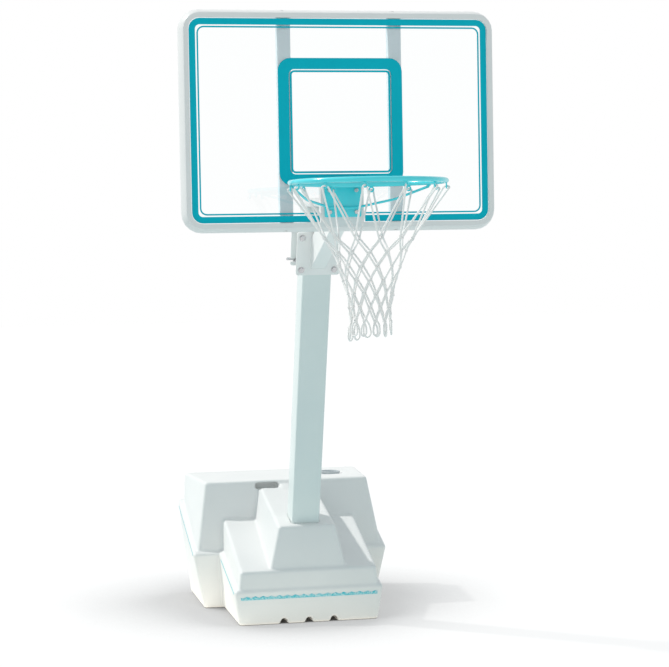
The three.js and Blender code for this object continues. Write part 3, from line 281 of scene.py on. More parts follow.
# %% Node group helpers
def new_group(name, inputs, outputs):
    tree = bpy.data.node_groups.new(name, "ShaderNodeTree")
    for socket, kind, value in inputs:
        made = tree.interface.new_socket(name=socket, in_out="INPUT", socket_type=kind)
        made.default_value = value
    for socket, kind in outputs:
        tree.interface.new_socket(name=socket, in_out="OUTPUT", socket_type=kind)
    return tree, tree.nodes.new("NodeGroupInput"), tree.nodes.new("NodeGroupOutput")


def scaled_place(tree, stretch=(1, 1, 1)):
    """The place on the piece in metres, stretched along its axes."""
    where = tree.nodes.new("ShaderNodeTexCoord")
    mapping = tree.nodes.new("ShaderNodeMapping")
    mapping.inputs["Scale"].default_value = stretch
    tree.links.new(where.outputs["Object"], mapping.inputs["Vector"])
    return mapping.outputs["Vector"]


def feed(tree, value, socket):
    """Give a socket a plain value or another node's output."""
    if isinstance(value, bpy.types.NodeSocket):
        tree.links.new(value, socket)
    else:
        socket.default_value = value


def noise_node(tree, vector, scale, detail=3.0, roughness=0.5):
    made = tree.nodes.new("ShaderNodeTexNoise")
    made.inputs["Detail"].default_value = detail
    made.inputs["Roughness"].default_value = roughness
    tree.links.new(vector, made.inputs["Vector"])
    feed(tree, scale, made.inputs["Scale"])
    return made.outputs["Fac"]


def ramp_between(tree, value, low, high):
    """value stretched so that low gives 0 and high gives 1."""
    made = tree.nodes.new("ShaderNodeMapRange")
    made.inputs["From Min"].default_value = low
    made.inputs["From Max"].default_value = high
    tree.links.new(value, made.inputs["Value"])
    return made.outputs["Result"]


def arithmetic(tree, operation, first, second):
    made = tree.nodes.new("ShaderNodeMath")
    made.operation = operation
    for socket, value in zip(made.inputs, (first, second)):
        feed(tree, value, socket)
    return made.outputs["Value"]


def colour_between(tree, share, first, second):
    made = tree.nodes.new("ShaderNodeMix")
    made.data_type = "RGBA"
    tree.links.new(share, made.inputs["Factor"])
    feed(tree, first, made.inputs["A"])
    feed(tree, second, made.inputs["B"])
    return made.outputs["Result"]


# %% The mottle, grain and rub mark groups
def make_mottle():
    tree, given, out = new_group(
        "mottle",
        [("Main", "NodeSocketColor", (1, 1, 1, 1)), ("Other", "NodeSocketColor", (0.9, 0.9, 0.9, 1)),
         ("Scale", "NodeSocketFloat", 6.0), ("Amount", "NodeSocketFloat", 0.5)],
        [("Color", "NodeSocketColor")])
    slow = noise_node(tree, scaled_place(tree), given.outputs["Scale"], detail=4)
    share = arithmetic(tree, "MULTIPLY", ramp_between(tree, slow, 0.35, 0.7), given.outputs["Amount"])
    mixed = colour_between(tree, share, given.outputs["Main"], given.outputs["Other"])
    tree.links.new(mixed, out.inputs["Color"])
    return tree


def make_fine_grain():
    tree, given, out = new_group(
        "fine_grain", [("Scale", "NodeSocketFloat", 400.0), ("Waviness", "NodeSocketFloat", 0.3)],
        [("Height", "NodeSocketFloat")])
    place = scaled_place(tree)
    pebbles = noise_node(tree, place, given.outputs["Scale"], detail=2)
    waves = noise_node(tree, place, 14.0, detail=1)
    raised = arithmetic(tree, "MULTIPLY", waves, given.outputs["Waviness"])
    tree.links.new(arithmetic(tree, "ADD", pebbles, raised), out.inputs["Height"])
    return tree


def make_rub_marks():
    tree, given, out = new_group(
        "rub_marks", [("Scale", "NodeSocketFloat", 30.0), ("Amount", "NodeSocketFloat", 0.5)],
        [("Mask", "NodeSocketFloat")])
    lengthwise = noise_node(tree, scaled_place(tree, (0.3, 1, 8)), given.outputs["Scale"],
                            detail=6, roughness=0.7)
    crosswise = noise_node(tree, scaled_place(tree, (7, 0.5, 1)), given.outputs["Scale"],
                           detail=6, roughness=0.7)
    patches = ramp_between(tree, noise_node(tree, scaled_place(tree), 5.0, detail=2), 0.5, 0.7)
    scratch = arithmetic(tree, "MAXIMUM", ramp_between(tree, lengthwise, 0.62, 0.72),
                         ramp_between(tree, crosswise, 0.64, 0.74))
    kept = arithmetic(tree, "MULTIPLY", scratch, patches)
    tree.links.new(arithmetic(tree, "MULTIPLY", kept, given.outputs["Amount"]), out.inputs["Mask"])
    return tree


groups = {tree.name: tree for tree in (make_mottle(), make_fine_grain(), make_rub_marks())}
print("shared effects:", ", ".join(groups))

# %% [markdown]
# ## The materials
# Each finish is a Principled shader fed by those groups. The tank is rotation-moulded polyethylene, which
# comes out of its mould with a fine orange-peel skin. The pole and clamp are powder coated, the ring too but
# glossier. One white coat comes in three copies: lighter on the clamp and arm as painted light, and darker
# and cooler on the pole and bluer on the struts as painted shade. The board's bands are screen printed, its
# frame is moulded plastic and its panel a clear sheet.

# %% Material helpers
def new_material(name, **sockets):
    material = bpy.data.materials.new(name)
    material.use_nodes = True
    shader = material.node_tree.nodes["Principled BSDF"]
    for socket, value in sockets.items():
        shader.inputs[socket.replace("_", " ")].default_value = value
    return material, material.node_tree, shader


def use_group(tree, name, **values):
    made = tree.nodes.new("ShaderNodeGroup")
    made.node_tree = groups[name]
    for socket, value in values.items():
        made.inputs[socket].default_value = value
    return made


def add_bump(tree, shader, height, depth):
    """Bump as deep as depth, from a height of about 0 to 1."""
    bump = tree.nodes.new("ShaderNodeBump")
    bump.inputs["Distance"].default_value = depth
    tree.links.new(height, bump.inputs["Height"])
    tree.links.new(bump.outputs["Normal"], shader.inputs["Normal"])


def vary_roughness(tree, shader, mask, low, high):
    spread = tree.nodes.new("ShaderNodeMapRange")
    spread.inputs["To Min"].default_value = low
    spread.inputs["To Max"].default_value = high
    tree.links.new(mask, spread.inputs["Value"])
    tree.links.new(spread.outputs["Result"], shader.inputs["Roughness"])


def coated_surface(name, main, other, mottle_scale, grain_scale, grain_depth, rough, rubbed,
                   waviness=0.3, **extra):
    """A moulded or painted skin: two close colours, a pebbled height and rubbed, rougher marks."""
    material, tree, shader = new_material(name, **extra)
    colour = use_group(tree, "mottle", Main=(*main, 1), Other=(*other, 1), Scale=mottle_scale, Amount=0.8)
    tree.links.new(colour.outputs["Color"], shader.inputs["Base Color"])
    marks = use_group(tree, "rub_marks", Scale=28.0, Amount=1.0)
    vary_roughness(tree, shader, marks.outputs["Mask"], rough, rubbed)
    grain = use_group(tree, "fine_grain", Scale=grain_scale, Waviness=waviness)
    add_bump(tree, shader, grain.outputs["Height"], grain_depth)
    return material


# %% The painted, moulded and printed finishes
finishes = {
    "tank_white": coated_surface("tank_plastic", (0.86, 0.855, 0.845), (0.82, 0.82, 0.81), 5, 520,
                                 0.25 * MM, 0.46, 0.62, waviness=1.5, Specular_IOR_Level=0.4),
    # The white coat is painted lighter than the pole's copy of it: painted light on the clamp, arm and other
    # white pieces.
    "frame_white": coated_surface("white_coat_painted_light", (0.93, 0.92, 0.905), (0.89, 0.885, 0.875), 9, 900,
                                  0.06 * MM, 0.34, 0.48, Specular_IOR_Level=0.5),
    "pale_grey": coated_surface("pale_grey_plastic", (0.85, 0.835, 0.825), (0.81, 0.8, 0.795), 8, 700,
                                0.05 * MM, 0.36, 0.5, Specular_IOR_Level=0.4),
    "rim_teal": coated_surface("teal_powder_coat", (0.055, 0.76, 0.84), (0.04, 0.7, 0.79), 14, 800,
                               0.05 * MM, 0.22, 0.38, Coat_Weight=0.5, Coat_Roughness=0.1),
    "print_teal": coated_surface("teal_print", (0.001, 0.5, 0.62), (0.001, 0.475, 0.595), 20, 1400,
                                 0.015 * MM, 0.45, 0.55, Specular_IOR_Level=0.1),
    "wheel_grey": coated_surface("wheel_plastic", (0.42, 0.44, 0.45), (0.38, 0.4, 0.41), 12, 600,
                                 0.1 * MM, 0.5, 0.65),
    "bright_steel": coated_surface("bright_steel", (0.6, 0.61, 0.62), (0.5, 0.51, 0.53), 60, 1800,
                                   0.02 * MM, 0.26, 0.45, Metallic=1.0),
}
pinstripe = coated_surface("pinstripe_print", (0.16, 0.62, 0.68), (0.14, 0.58, 0.65), 20, 1400,
                           0.015 * MM, 0.4, 0.5, Specular_IOR_Level=0.2)
wave_print = coated_surface("wave_print", (0.06, 0.55, 0.64), (0.7, 0.88, 0.9), 150, 1400,
                            0.015 * MM, 0.4, 0.5, Specular_IOR_Level=0.2)
# The pole's coat is the same white coat, painted darker and cooler: painted shade.
pole_paint_painted_shade = coated_surface("pole_coat_painted_shade", (0.78, 0.835, 0.82), (0.74, 0.805, 0.795), 6, 900,
                            0.06 * MM, 0.36, 0.5, Specular_IOR_Level=0.35)
# The struts' coat is the same white coat painted a cool blue-grey: painted shade from the panel in front of
# them.
strut_paint_painted_shade = coated_surface("strut_coat_painted_shade", (0.77, 0.92, 0.97), (0.74, 0.89, 0.95), 9, 900,
                             0.06 * MM, 0.36, 0.5, Specular_IOR_Level=0.3)
cap_plastic = coated_surface("cap_plastic", (0.56, 0.6, 0.62), (0.52, 0.56, 0.58), 10, 700,
                             0.05 * MM, 0.4, 0.55)
SPECIAL_FINISH = {"pole": pole_paint_painted_shade, "strut_left": strut_paint_painted_shade, "strut_right": strut_paint_painted_shade,
                  "fill_cap": cap_plastic, "drain_plug": cap_plastic}
print("finishes:", ", ".join(finishes))

# %% Clear sheet and net cord
def make_clear_sheet():
    material, tree, shader = new_material(
        "clear_sheet", Transmission_Weight=1.0, IOR=1.49, Base_Color=(0.985, 0.996, 0.996, 1))
    marks = use_group(tree, "rub_marks", Scale=18.0, Amount=0.6)
    vary_roughness(tree, shader, marks.outputs["Mask"], 0.0, 0.05)
    return material


def make_cord():
    material, tree, shader = new_material("net_cord", Sheen_Weight=0.6, Sheen_Roughness=0.5)
    colour = use_group(tree, "mottle", Main=(1.0, 0.955, 0.935, 1), Other=(0.93, 0.9, 0.88, 1),
                       Scale=60.0, Amount=0.9)
    tree.links.new(colour.outputs["Color"], shader.inputs["Base Color"])
    marks = use_group(tree, "rub_marks", Scale=200.0, Amount=1.0)
    vary_roughness(tree, shader, marks.outputs["Mask"], 0.7, 0.9)
    fibres = use_group(tree, "fine_grain", Scale=2600.0, Waviness=0.0)
    add_bump(tree, shader, fibres.outputs["Height"], 0.25 * MM)
    return material


finishes["clear_sheet"] = make_clear_sheet()
finishes["net_cord"] = make_cord()
print("materials:", len(bpy.data.materials))

# %% [markdown]
# ## The tank
# A rotation-moulded tank has no sharp inner corner: the powder flows round every edge and leaves a soft
# blend. A bevel can't round the line where two bodies grow into each other, so the CAD solid is remeshed
# in small cubes and smoothed. The smoothing is kept just strong enough to round a 5 mm fillet and leave
# the big faces where they are.

# %% The moulded tank
TANK_VOXEL = 4 * MM
TANK_SMOOTHING = 4
GROOVE_SPACING = 92 * MM
GROOVE_WIDTH = 26.6 * MM
GROOVE_HEIGHT = 21.5 * MM
GROOVE_FLARE = 4 * MM
GROOVE_LENGTH = 230 * MM
GROOVE_LEAD = 10 * MM  # the cutter starts this far before the tank's front
GROOVE_SINK = 5 * MM
ARCH_STEPS = 10


def cut_grooves(obj):
    """Cut the three arched drain grooves again, because the smoothing melts so small a shape."""
    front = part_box("tank")[0].y - GROOVE_LEAD
    half_width, foot = GROOVE_WIDTH / 2, GROOVE_WIDTH / 2 + GROOVE_FLARE
    turns = [math.pi * k / ARCH_STEPS for k in range(ARCH_STEPS + 1)]
    arch = [(half_width * math.cos(a), GROOVE_HEIGHT - half_width + half_width * math.sin(a)) for a in turns]
    outline = [(foot, -GROOVE_SINK), (foot, 0), (half_width, GROOVE_FLARE / 2), *arch,
               (-half_width, GROOVE_FLARE / 2), (-foot, 0), (-foot, -GROOVE_SINK)]
    for place in (-1, 0, 1):
        count = len(outline)
        points = [(x + place * GROOVE_SPACING, y, z)
                  for y in (front, front + GROOVE_LENGTH) for x, z in outline]
        faces = [tuple(reversed(range(count))), tuple(range(count, 2 * count))]
        faces += [(k, (k + 1) % count, (k + 1) % count + count, k + count) for k in range(count)]
        cutter = mesh_of(f"groove_cutter_{place + 1}", points, faces)
        cut = obj.modifiers.new("groove", "BOOLEAN")
        cut.operation = "DIFFERENCE"
        cut.solver = "MANIFOLD"
        cut.object = cutter
        applied(obj)
        bpy.data.objects.remove(cutter)


def mould_tank():
    obj = welded_copy("tank", "tank_shell")
    remesh = obj.modifiers.new("small_cubes", "REMESH")
    remesh.mode = "VOXEL"
    remesh.voxel_size = TANK_VOXEL
    soften = obj.modifiers.new("soften", "SMOOTH")
    soften.factor = 0.5
    soften.iterations = TANK_SMOOTHING
    applied(obj)
    cut_grooves(obj)
    obj.data.shade_smooth()
    return place_piece(obj, finishes["tank_white"], "stand", ["tank"])


tank = mould_tank()
print("tank faces", len(tank.data.polygons))

# %% [markdown]
# ## Plates, channels, bolts and caps
# These CAD shapes are right as they are. Each gets a copy with rounded edges. Thin printed films keep
# their sharp outline, because ink has one, and only need a finish.

# %% Rounded copies of the rigid pieces
EDGE_OF_SLOT = {"frame_white": 1.0 * MM, "pale_grey": 1.2 * MM, "rim_teal": 1.2 * MM,
                "bright_steel": 0.5 * MM, "wheel_grey": 1.5 * MM}
MADE_ANEW = {"tank", "rim_ring", "rim_brace_rod", "net", "clear_panel"}
TURNED_ANEW = ("clamp_bolt", "clamp_handle", "rim_bolt", "rim_nut", "wheel_left", "wheel_right")

for node in nodes:
    slot = slot_of_node[node]
    if node in MADE_ANEW or node.startswith(TURNED_ANEW):
        continue
    if slot == "print_teal":
        material = pinstripe if "stripe" in node else wave_print if "wave" in node else finishes[slot]
        nodes[node].data.materials.clear()
        nodes[node].data.materials.append(material)
        continue
    finish = SPECIAL_FINISH.get(node, finishes[slot])
    place_piece(dressed(node, EDGE_OF_SLOT[slot]), finish, body_of_node[node], [node])
nodes["clear_panel"].data.materials.clear()
nodes["clear_panel"].data.materials.append(finishes["clear_sheet"])

# %% [markdown]
# ## Bolts, nuts, T-handles and wheels
# These are turned parts, so they come from a profile and an axis. A hexagon head is a body with six sides
# whose outer end is narrower, as the chamfer on a real head. Where a bolt's tail stands out of its nut, a
# thread winds round it: a tube with one lobe that turns once in each pitch. The record's joints say where
# the T-handles and the wheels turn.

# %% Shapes of bolts, nuts and T-handles
X_AXIS, Y_AXIS, Z_AXIS = Vector((1, 0, 0)), Vector((0, 1, 0)), Vector((0, 0, 1))
HUB_RADIUS, HUB_HALF = 10 * MM, 10 * MM
HANDLE_BORE = 5.6 * MM
BAR_RADIUS, BAR_REACH = 5 * MM, 31 * MM
BAR_START = 1.5 * MM  # the bar begins this far outside the hub's bore
BAR_ROUND, BAR_TIP = 3 * MM, 1 * MM  # from its end to the start and the middle of its rounding
BAR_ROOT_SHARE, BAR_TIP_SHARE, BAR_END_SHARE = 0.7, 0.8, 0.4
HEAD_CHAMFER_SHARE, NUT_CHAMFER_SHARE = 0.15, 0.12
SHANK_CHAMFER = 0.6 * MM
THREAD_WIDTH_SHARE, THREAD_DEPTH_SHARE = 1.045, 0.035
THREAD_STEPS = 8  # places on one turn of the thread
HEX_SIDES, SHANK_SIDES, BAR_SIDES, ROUND_SIDES = 6, 20, 24, 36


def hex_bolt(seat, axis, radius, head_radius, head, length, washer_radius=0.0, washer=0.0):
    """A bolt whose washer, or else its head, rests on seat; its shank runs along the axis from there."""
    chamfer = HEAD_CHAMFER_SHARE * head_radius
    parts = [turned([(-washer - head, head_radius - chamfer), (-washer - head + chamfer / 2, head_radius),
                     (-washer, head_radius)], seat, axis, HEX_SIDES),
             turned([(-washer - head / 2, radius), (length - SHANK_CHAMFER, radius),
                     (length, radius - SHANK_CHAMFER)], seat, axis, SHANK_SIDES)]
    if washer:
        parts.append(turned([(-washer, washer_radius), (0, washer_radius)], seat, axis, ROUND_SIDES))
    return parts


def thread(place, axis, radius, start, end, pitch):
    """A screw thread just proud of a shank of this radius."""
    steps = math.ceil((end - start) / pitch * THREAD_STEPS)
    path = [place + axis * (start + (end - start) * k / steps) for k in range(steps + 1)]
    return sweep(path, radius * THREAD_WIDTH_SHARE, SHANK_SIDES, lobes=1, lobe_depth=THREAD_DEPTH_SHARE,
                 pitch=pitch)


def hex_nut(place, axis, radius, bore, start, end):
    edge = NUT_CHAMFER_SHARE * radius
    profile = [(start, bore), (start, radius - edge), (start + edge / 2, radius), (end - edge / 2, radius),
               (end, radius - edge), (end, bore), (start, bore)]
    return [turned(profile, place, axis, HEX_SIDES)]


def t_handle(place, axis):
    hub = [(-HUB_HALF, HANDLE_BORE), (-HUB_HALF, HUB_RADIUS), (HUB_HALF, HUB_RADIUS), (HUB_HALF, HANDLE_BORE),
           (-HUB_HALF, HANDLE_BORE)]
    bar = [(HANDLE_BORE + BAR_START, BAR_ROOT_SHARE * BAR_RADIUS), (HUB_RADIUS, BAR_RADIUS),
           (BAR_REACH - BAR_ROUND, BAR_RADIUS), (BAR_REACH - BAR_TIP, BAR_TIP_SHARE * BAR_RADIUS),
           (BAR_REACH, BAR_END_SHARE * BAR_RADIUS)]
    return [turned(hub, place, axis, ROUND_SIDES), turned(bar, place, X_AXIS, BAR_SIDES),
            turned(bar, place, -X_AXIS, BAR_SIDES)]


# %% Place the bolts, nuts and T-handles
joints = {joint["name"]: joint for joint in frame["record"]["behaviour"]["joints"]}
CORNERS = [f"{side}_{level}" for side in ("left", "right") for level in ("lower", "upper")]
CLAMP_SEAT = -124.8 * MM  # from the handle's middle to where the bolt's washer rests
CLAMP_TAIL = 16 * MM
CLAMP_THREAD, CLAMP_PITCH = 5 * MM, 1.5 * MM
CLAMP_HEX, CLAMP_HEAD = 9.6 * MM, 5.6 * MM
CLAMP_WASHER, WASHER_THICK = 11 * MM, 1.8 * MM
RIM_THREAD, RIM_PITCH = 4 * MM, 1.25 * MM
RIM_HEX, RIM_HEAD, RIM_HOLE = 7.4 * MM, 5.3 * MM, 4.6 * MM
BARE_TIP = 0.7 * MM  # a tail's tip without thread
HUB_THREAD_GAP, NUT_THREAD_GAP = 0.3 * MM, 0.2 * MM  # from the hub or nut to where the thread shows
CLAMP_EDGE, RIM_EDGE, HANDLE_EDGE = 0.4 * MM, 0.35 * MM, 0.8 * MM


def place_steel(node, parts, edge, body="hoop_head"):
    piece = mesh_of(node + "_piece", *gathered(parts))
    place_piece(bevelled(piece, edge), finishes["bright_steel"], body, [node])


threads = []
for corner in CORNERS:
    turn = joints[corner + "_handle_turn"]
    middle, axis = Vector(turn["pos_m"]), Vector(turn["axis"]).normalized()
    bolt = hex_bolt(middle + axis * CLAMP_SEAT, axis, CLAMP_THREAD, CLAMP_HEX, CLAMP_HEAD,
                    CLAMP_TAIL - CLAMP_SEAT, CLAMP_WASHER, WASHER_THICK)
    place_steel(f"clamp_bolt_{corner}", bolt, CLAMP_EDGE)
    place_steel(f"clamp_handle_{corner}", t_handle(middle, axis), HANDLE_EDGE, f"handle_{corner}")
    threads.append(thread(middle, axis, CLAMP_THREAD, HUB_HALF + HUB_THREAD_GAP, CLAMP_TAIL - BARE_TIP,
                          CLAMP_PITCH))
    low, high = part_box(f"rim_bolt_{corner}")
    nut_low, nut_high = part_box(f"rim_nut_{corner}")
    place = Vector(((low.x + high.x) / 2, low.y + RIM_HEAD, (low.z + high.z) / 2))
    tail, nut_start, nut_end = (y - place.y for y in (high.y, nut_low.y, nut_high.y))
    place_steel(f"rim_bolt_{corner}", hex_bolt(place, Y_AXIS, RIM_THREAD, RIM_HEX, RIM_HEAD, tail), RIM_EDGE)
    place_steel(f"rim_nut_{corner}", hex_nut(place, Y_AXIS, RIM_HEX, RIM_HOLE, nut_start, nut_end), RIM_EDGE)
    threads.append(thread(place, Y_AXIS, RIM_THREAD, nut_end + NUT_THREAD_GAP, tail - BARE_TIP, RIM_PITCH))
place_piece(mesh_of("bolt_threads", *gathered(threads)), finishes["bright_steel"], "hoop_head")
print("threaded tails", len(threads))

# %% Wheels
WHEEL_RADIUS, WHEEL_HALF = 52 * MM, 17 * MM
WHEEL_BORE, WHEEL_HUB, WHEEL_INNER, WHEEL_DISH = 6.3 * MM, 15 * MM, 38 * MM, 7 * MM
DISH_SLOPE = 2 * MM
SHOULDER, SHOULDER_CUT = 4 * MM, 1.2 * MM  # the tread's rounded edge
TREAD_GROOVES = (-8 * MM, 0.0, 8 * MM)
TREAD_TOP, TREAD_FLOOR, TREAD_DEPTH = 2 * MM, 1.3 * MM, 1.5 * MM  # a groove's half widths and depth
WHEEL_SIDES, WHEEL_EDGE = 72, 0.5 * MM


def wheel_profile():
    """One side from the bore out to the tread, the grooved tread, and the other side back to the bore."""
    side = [(WHEEL_HALF, WHEEL_BORE), (WHEEL_HALF, WHEEL_HUB),
            (WHEEL_HALF - WHEEL_DISH, WHEEL_HUB + DISH_SLOPE),
            (WHEEL_HALF - WHEEL_DISH, WHEEL_INNER - DISH_SLOPE),
            (WHEEL_HALF, WHEEL_INNER), (WHEEL_HALF, WHEEL_RADIUS - SHOULDER),
            (WHEEL_HALF - SHOULDER_CUT, WHEEL_RADIUS - SHOULDER_CUT), (WHEEL_HALF - SHOULDER, WHEEL_RADIUS)]
    outline = ((-TREAD_TOP, 0), (-TREAD_FLOOR, TREAD_DEPTH), (TREAD_FLOOR, TREAD_DEPTH), (TREAD_TOP, 0))
    tread = [(groove + shift, WHEEL_RADIUS - deep)
             for groove in TREAD_GROOVES for shift, deep in outline]
    return [(-x, r) for x, r in side] + tread + side[::-1] + [(-WHEEL_HALF, WHEEL_BORE)]


for side in ("left", "right"):
    middle = Vector(joints[f"wheel_{side}_roll"]["pos_m"])
    wheel = mesh_of(f"wheel_{side}_piece", *turned(wheel_profile(), middle, X_AXIS, WHEEL_SIDES))
    place_piece(bevelled(wheel, WHEEL_EDGE), finishes["wheel_grey"], f"wheel_{side}", [f"wheel_{side}"])
print("turned pieces", sum(1 for node in nodes if node.startswith(TURNED_ANEW)))

# %% [markdown]
# ## Weld beads
# The arm is welded to its two plates, the bracket's flange to the ring and the brace rod to both. A bead
# is a thin tube that swells and shrinks every few millimetres, half sunk in the corner that it fills.

# %% Weld beads on the arm
BEAD_RADIUS = 2.4 * MM
BEAD_RIPPLE = 3.2 * MM
BEAD_START = 0.35  # a bead's thin end, as a share of its radius
BEAD_RISE = 0.8  # how fast it thickens from there
BEAD_WAVE = 0.12
BEAD_SIDES, RIPPLE_STEPS = 10, 5
WELD_GAP = 0.6 * MM
PLATE_FACE = 3.4 * MM  # from the clamp plate's middle to its outer face
ARM_HALF = 25 * MM
ARM_FOOT = (-54 * MM, 62 * MM)  # along the pole, from the clamp plate's middle
ARM_HEAD_HEIGHT = 116 * MM
ARM_WELD_STOP = 2 * MM  # the bead ends this far below the arm's top


def weld_bead(corners, radius=BEAD_RADIUS):
    """A bead along straight runs, thin at both ends and rippled between them."""
    path = []
    for a, b in zip(corners, corners[1:]):
        steps = max(1, round((b - a).length / (BEAD_RIPPLE / RIPPLE_STEPS)))
        path += [a.lerp(b, k / steps) for k in range(steps)]
    path.append(corners[-1])
    length = sum((b - a).length for a, b in zip(corners, corners[1:]))

    def swell(t):
        end = min(1, BEAD_START + BEAD_RISE * min(t, 1 - t) * length / radius)
        return radius * end * (1 + BEAD_WAVE * math.sin(math.tau * t * length / BEAD_RIPPLE))

    return sweep(path, swell, BEAD_SIDES)


def make_arm_welds():
    pole_axis = Vector(joints["height_slide"]["axis"]).normalized()
    plate_axis = Vector(joints["left_lower_handle_turn"]["axis"]).normalized()
    low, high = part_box("clamp_plate_front")
    face = (low + high) / 2 - plate_axis * PLATE_FACE
    half = ARM_HALF + WELD_GAP
    foot_low, foot_high = ARM_FOOT[0] - WELD_GAP, ARM_FOOT[1]
    foot = [face + X_AXIS * x + pole_axis * along for x, along in
            ((-half, foot_high), (-half, foot_low), (half, foot_low), (half, foot_high))]
    head_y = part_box("arm_head_plate")[1].y + WELD_GAP / 2
    arm_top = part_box("arm_channel")[1].z
    head_high, head_low = arm_top - ARM_WELD_STOP, arm_top - ARM_HEAD_HEIGHT - WELD_GAP
    head = [Vector((x, head_y, z)) for x, z in
            ((-half, head_high), (-half, head_low), (half, head_low), (half, head_high))]
    return mesh_of("arm_welds", *gathered([weld_bead(foot), weld_bead(head)]))


arm_welds = place_piece(make_arm_welds(), finishes["frame_white"], "hoop_head")
print("faces in the arm's welds", len(arm_welds.data.polygons))

# %% [markdown]
# ## The ring
# The ring is one round bar bent into a circle, with small loops of wire welded under it for the net. A
# tube swept round a circle with many steps gives the smooth highlight that a coarse ring can't.

# %% Ring and net eyes
RING_ROD = 15.9 * MM
EYE_COUNT = 12
EYE_RADIUS = 7 * MM
EYE_WIRE = 2.3 * MM
EYE_SINK = 1.2 * MM
TACK_START, TACK_STEP = 1.5 * MM, 2 * MM  # a tack weld runs along the ring from beside the eye
TACK_THIN, TACK_SWELL = 1.2 * MM, 1.6 * MM
RING_STEPS, EYE_STEPS = 160, 24
RING_SIDES, EYE_SIDES, TACK_SIDES = 20, 10, 8
ring_low, ring_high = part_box("rim_ring")
rim_centre = Vector(((ring_low.x + ring_high.x) / 2, (ring_low.y + ring_high.y) / 2,
                     ring_high.z - RING_ROD / 2))
ring_radius = (ring_high.x - ring_low.x) / 2 - RING_ROD / 2
eye_drop = RING_ROD / 2 + EYE_RADIUS + EYE_WIRE - EYE_SINK


def eye_angle(i):
    return math.tau * (-0.25 + (i + 0.5) / EYE_COUNT)


def round_rim(angle, out, drop):
    """A place by its angle round the ring, its distance outside the ring's middle line and below it."""
    reach = ring_radius + out
    return rim_centre + Vector((reach * math.cos(angle), reach * math.sin(angle), -drop))


def circle_path(centre, across, up, radius, steps):
    return [centre + (across * math.cos(math.tau * k / steps) + up * math.sin(math.tau * k / steps)) * radius
            for k in range(steps)]


def make_ring():
    circle = circle_path(rim_centre, X_AXIS, Y_AXIS, ring_radius, RING_STEPS)
    parts = [sweep(circle, RING_ROD / 2, RING_SIDES, closed=True)]
    for i in range(EYE_COUNT):
        angle = eye_angle(i)
        outward = X_AXIS * math.cos(angle) + Y_AXIS * math.sin(angle)
        tangent = Z_AXIS.cross(outward)
        middle = round_rim(angle, 0, eye_drop)
        eye = circle_path(middle, tangent, Z_AXIS, EYE_RADIUS, EYE_STEPS)
        parts.append(sweep(eye, EYE_WIRE, EYE_SIDES, closed=True))
        under = round_rim(angle, 0, RING_ROD / 2)
        for side in (-1, 1):
            tack = [under + tangent * side * (TACK_START + TACK_STEP * k) for k in range(3)]
            parts.append(sweep(tack, lambda t: TACK_THIN + TACK_SWELL * math.sin(math.pi * t), TACK_SIDES))
    return mesh_of("ring_and_eyes", *gathered(parts))


place_piece(make_ring(), finishes["rim_teal"], "hoop_head", ["rim_ring"])
print("ring radius in mm", round(ring_radius / MM, 1))

# %% [markdown]
# ## The brace rod
# One bent rod runs from the ring's side, under the bracket and back up to the other side. Its path is
# rounded at each bend as a bender leaves it.

# %% Brace rod
BRACE_RADIUS = 4 * MM
BRACE_DROP = 70 * MM
BRACE_BEND_X = 40 * MM
BRACE_BEND = 16 * MM
BRACE_WAIST = Vector((144, 130, 46)) * MM
BRACE_END_TURN = math.radians(25)
SEAT_GAP = 0.3 * MM
bracket_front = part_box("rim_brace_rod")[1].y + SEAT_GAP


def rounded_corners(corners, trim, steps=6):
    """Straight runs joined by a curve at each inner corner."""
    path = [corners[0]]
    for before, corner, after in zip(corners, corners[1:], corners[2:]):
        start = corner + (before - corner).normalized() * trim
        end = corner + (after - corner).normalized() * trim
        for k in range(steps + 1):
            t = k / steps
            path.append(start * (1 - t) ** 2 + corner * 2 * t * (1 - t) + end * t ** 2)
    return path + [corners[-1]]


def make_brace():
    drop = RING_ROD / 2 + BRACE_RADIUS + SEAT_GAP
    half = [round_rim(BRACE_END_TURN, 0, drop),
            Vector((BRACE_WAIST.x, bracket_front - BRACE_WAIST.y, rim_centre.z - BRACE_WAIST.z)),
            Vector((BRACE_BEND_X, bracket_front - BRACE_RADIUS - SEAT_GAP, rim_centre.z - BRACE_DROP))]
    mirrored = [Vector((-p.x, p.y, p.z)) for p in half]
    path = rounded_corners(mirrored + half[::-1], BRACE_BEND)
    return mesh_of("brace_rod", *sweep(path, BRACE_RADIUS, 14))


place_piece(make_brace(), finishes["rim_teal"], "hoop_head", ["rim_brace_rod"])
print("the brace rod passes", round(BRACE_DROP / MM), "mm below the ring")

# %% Weld beads on the ring
FLANGE_HALF, FLANGE_RISE, FLANGE_BEAD = 54 * MM, 2.9 * MM, 2.6 * MM
ROD_SIDE, ROD_BEAD = 2.6 * MM, 2.2 * MM
ROD_SEAM = (-0.03, 0, 0.03)  # turns round the ring
CROSSING_HALF = 24 * MM
ARC_STEPS = 24


def make_ring_welds():
    """Beads above and below the bracket's flange, at the brace rod's ends and where it meets the bracket."""
    reach = math.asin(FLANGE_HALF / (ring_radius + RING_ROD / 2))
    parts = []
    for drop in (-FLANGE_RISE, FLANGE_RISE):
        arc = [round_rim(math.pi / 2 + reach * (2 * k / ARC_STEPS - 1), RING_ROD / 2, drop)
               for k in range(ARC_STEPS + 1)]
        parts.append(weld_bead(arc, FLANGE_BEAD))
    for angle in (BRACE_END_TURN, math.pi - BRACE_END_TURN):
        for out in (-ROD_SIDE, ROD_SIDE):
            seam = [round_rim(angle + turn, out, RING_ROD / 2 + WELD_GAP) for turn in ROD_SEAM]
            parts.append(weld_bead(seam, ROD_BEAD))
    crossing = rim_centre.z - BRACE_DROP + BRACE_RADIUS
    parts.append(weld_bead([Vector((x, bracket_front, crossing)) for x in (-CROSSING_HALF, CROSSING_HALF)]))
    return mesh_of("ring_welds", *gathered(parts))


ring_welds = place_piece(make_ring_welds(), finishes["rim_teal"], "hoop_head")
print("faces in the ring's welds", len(ring_welds.data.polygons))

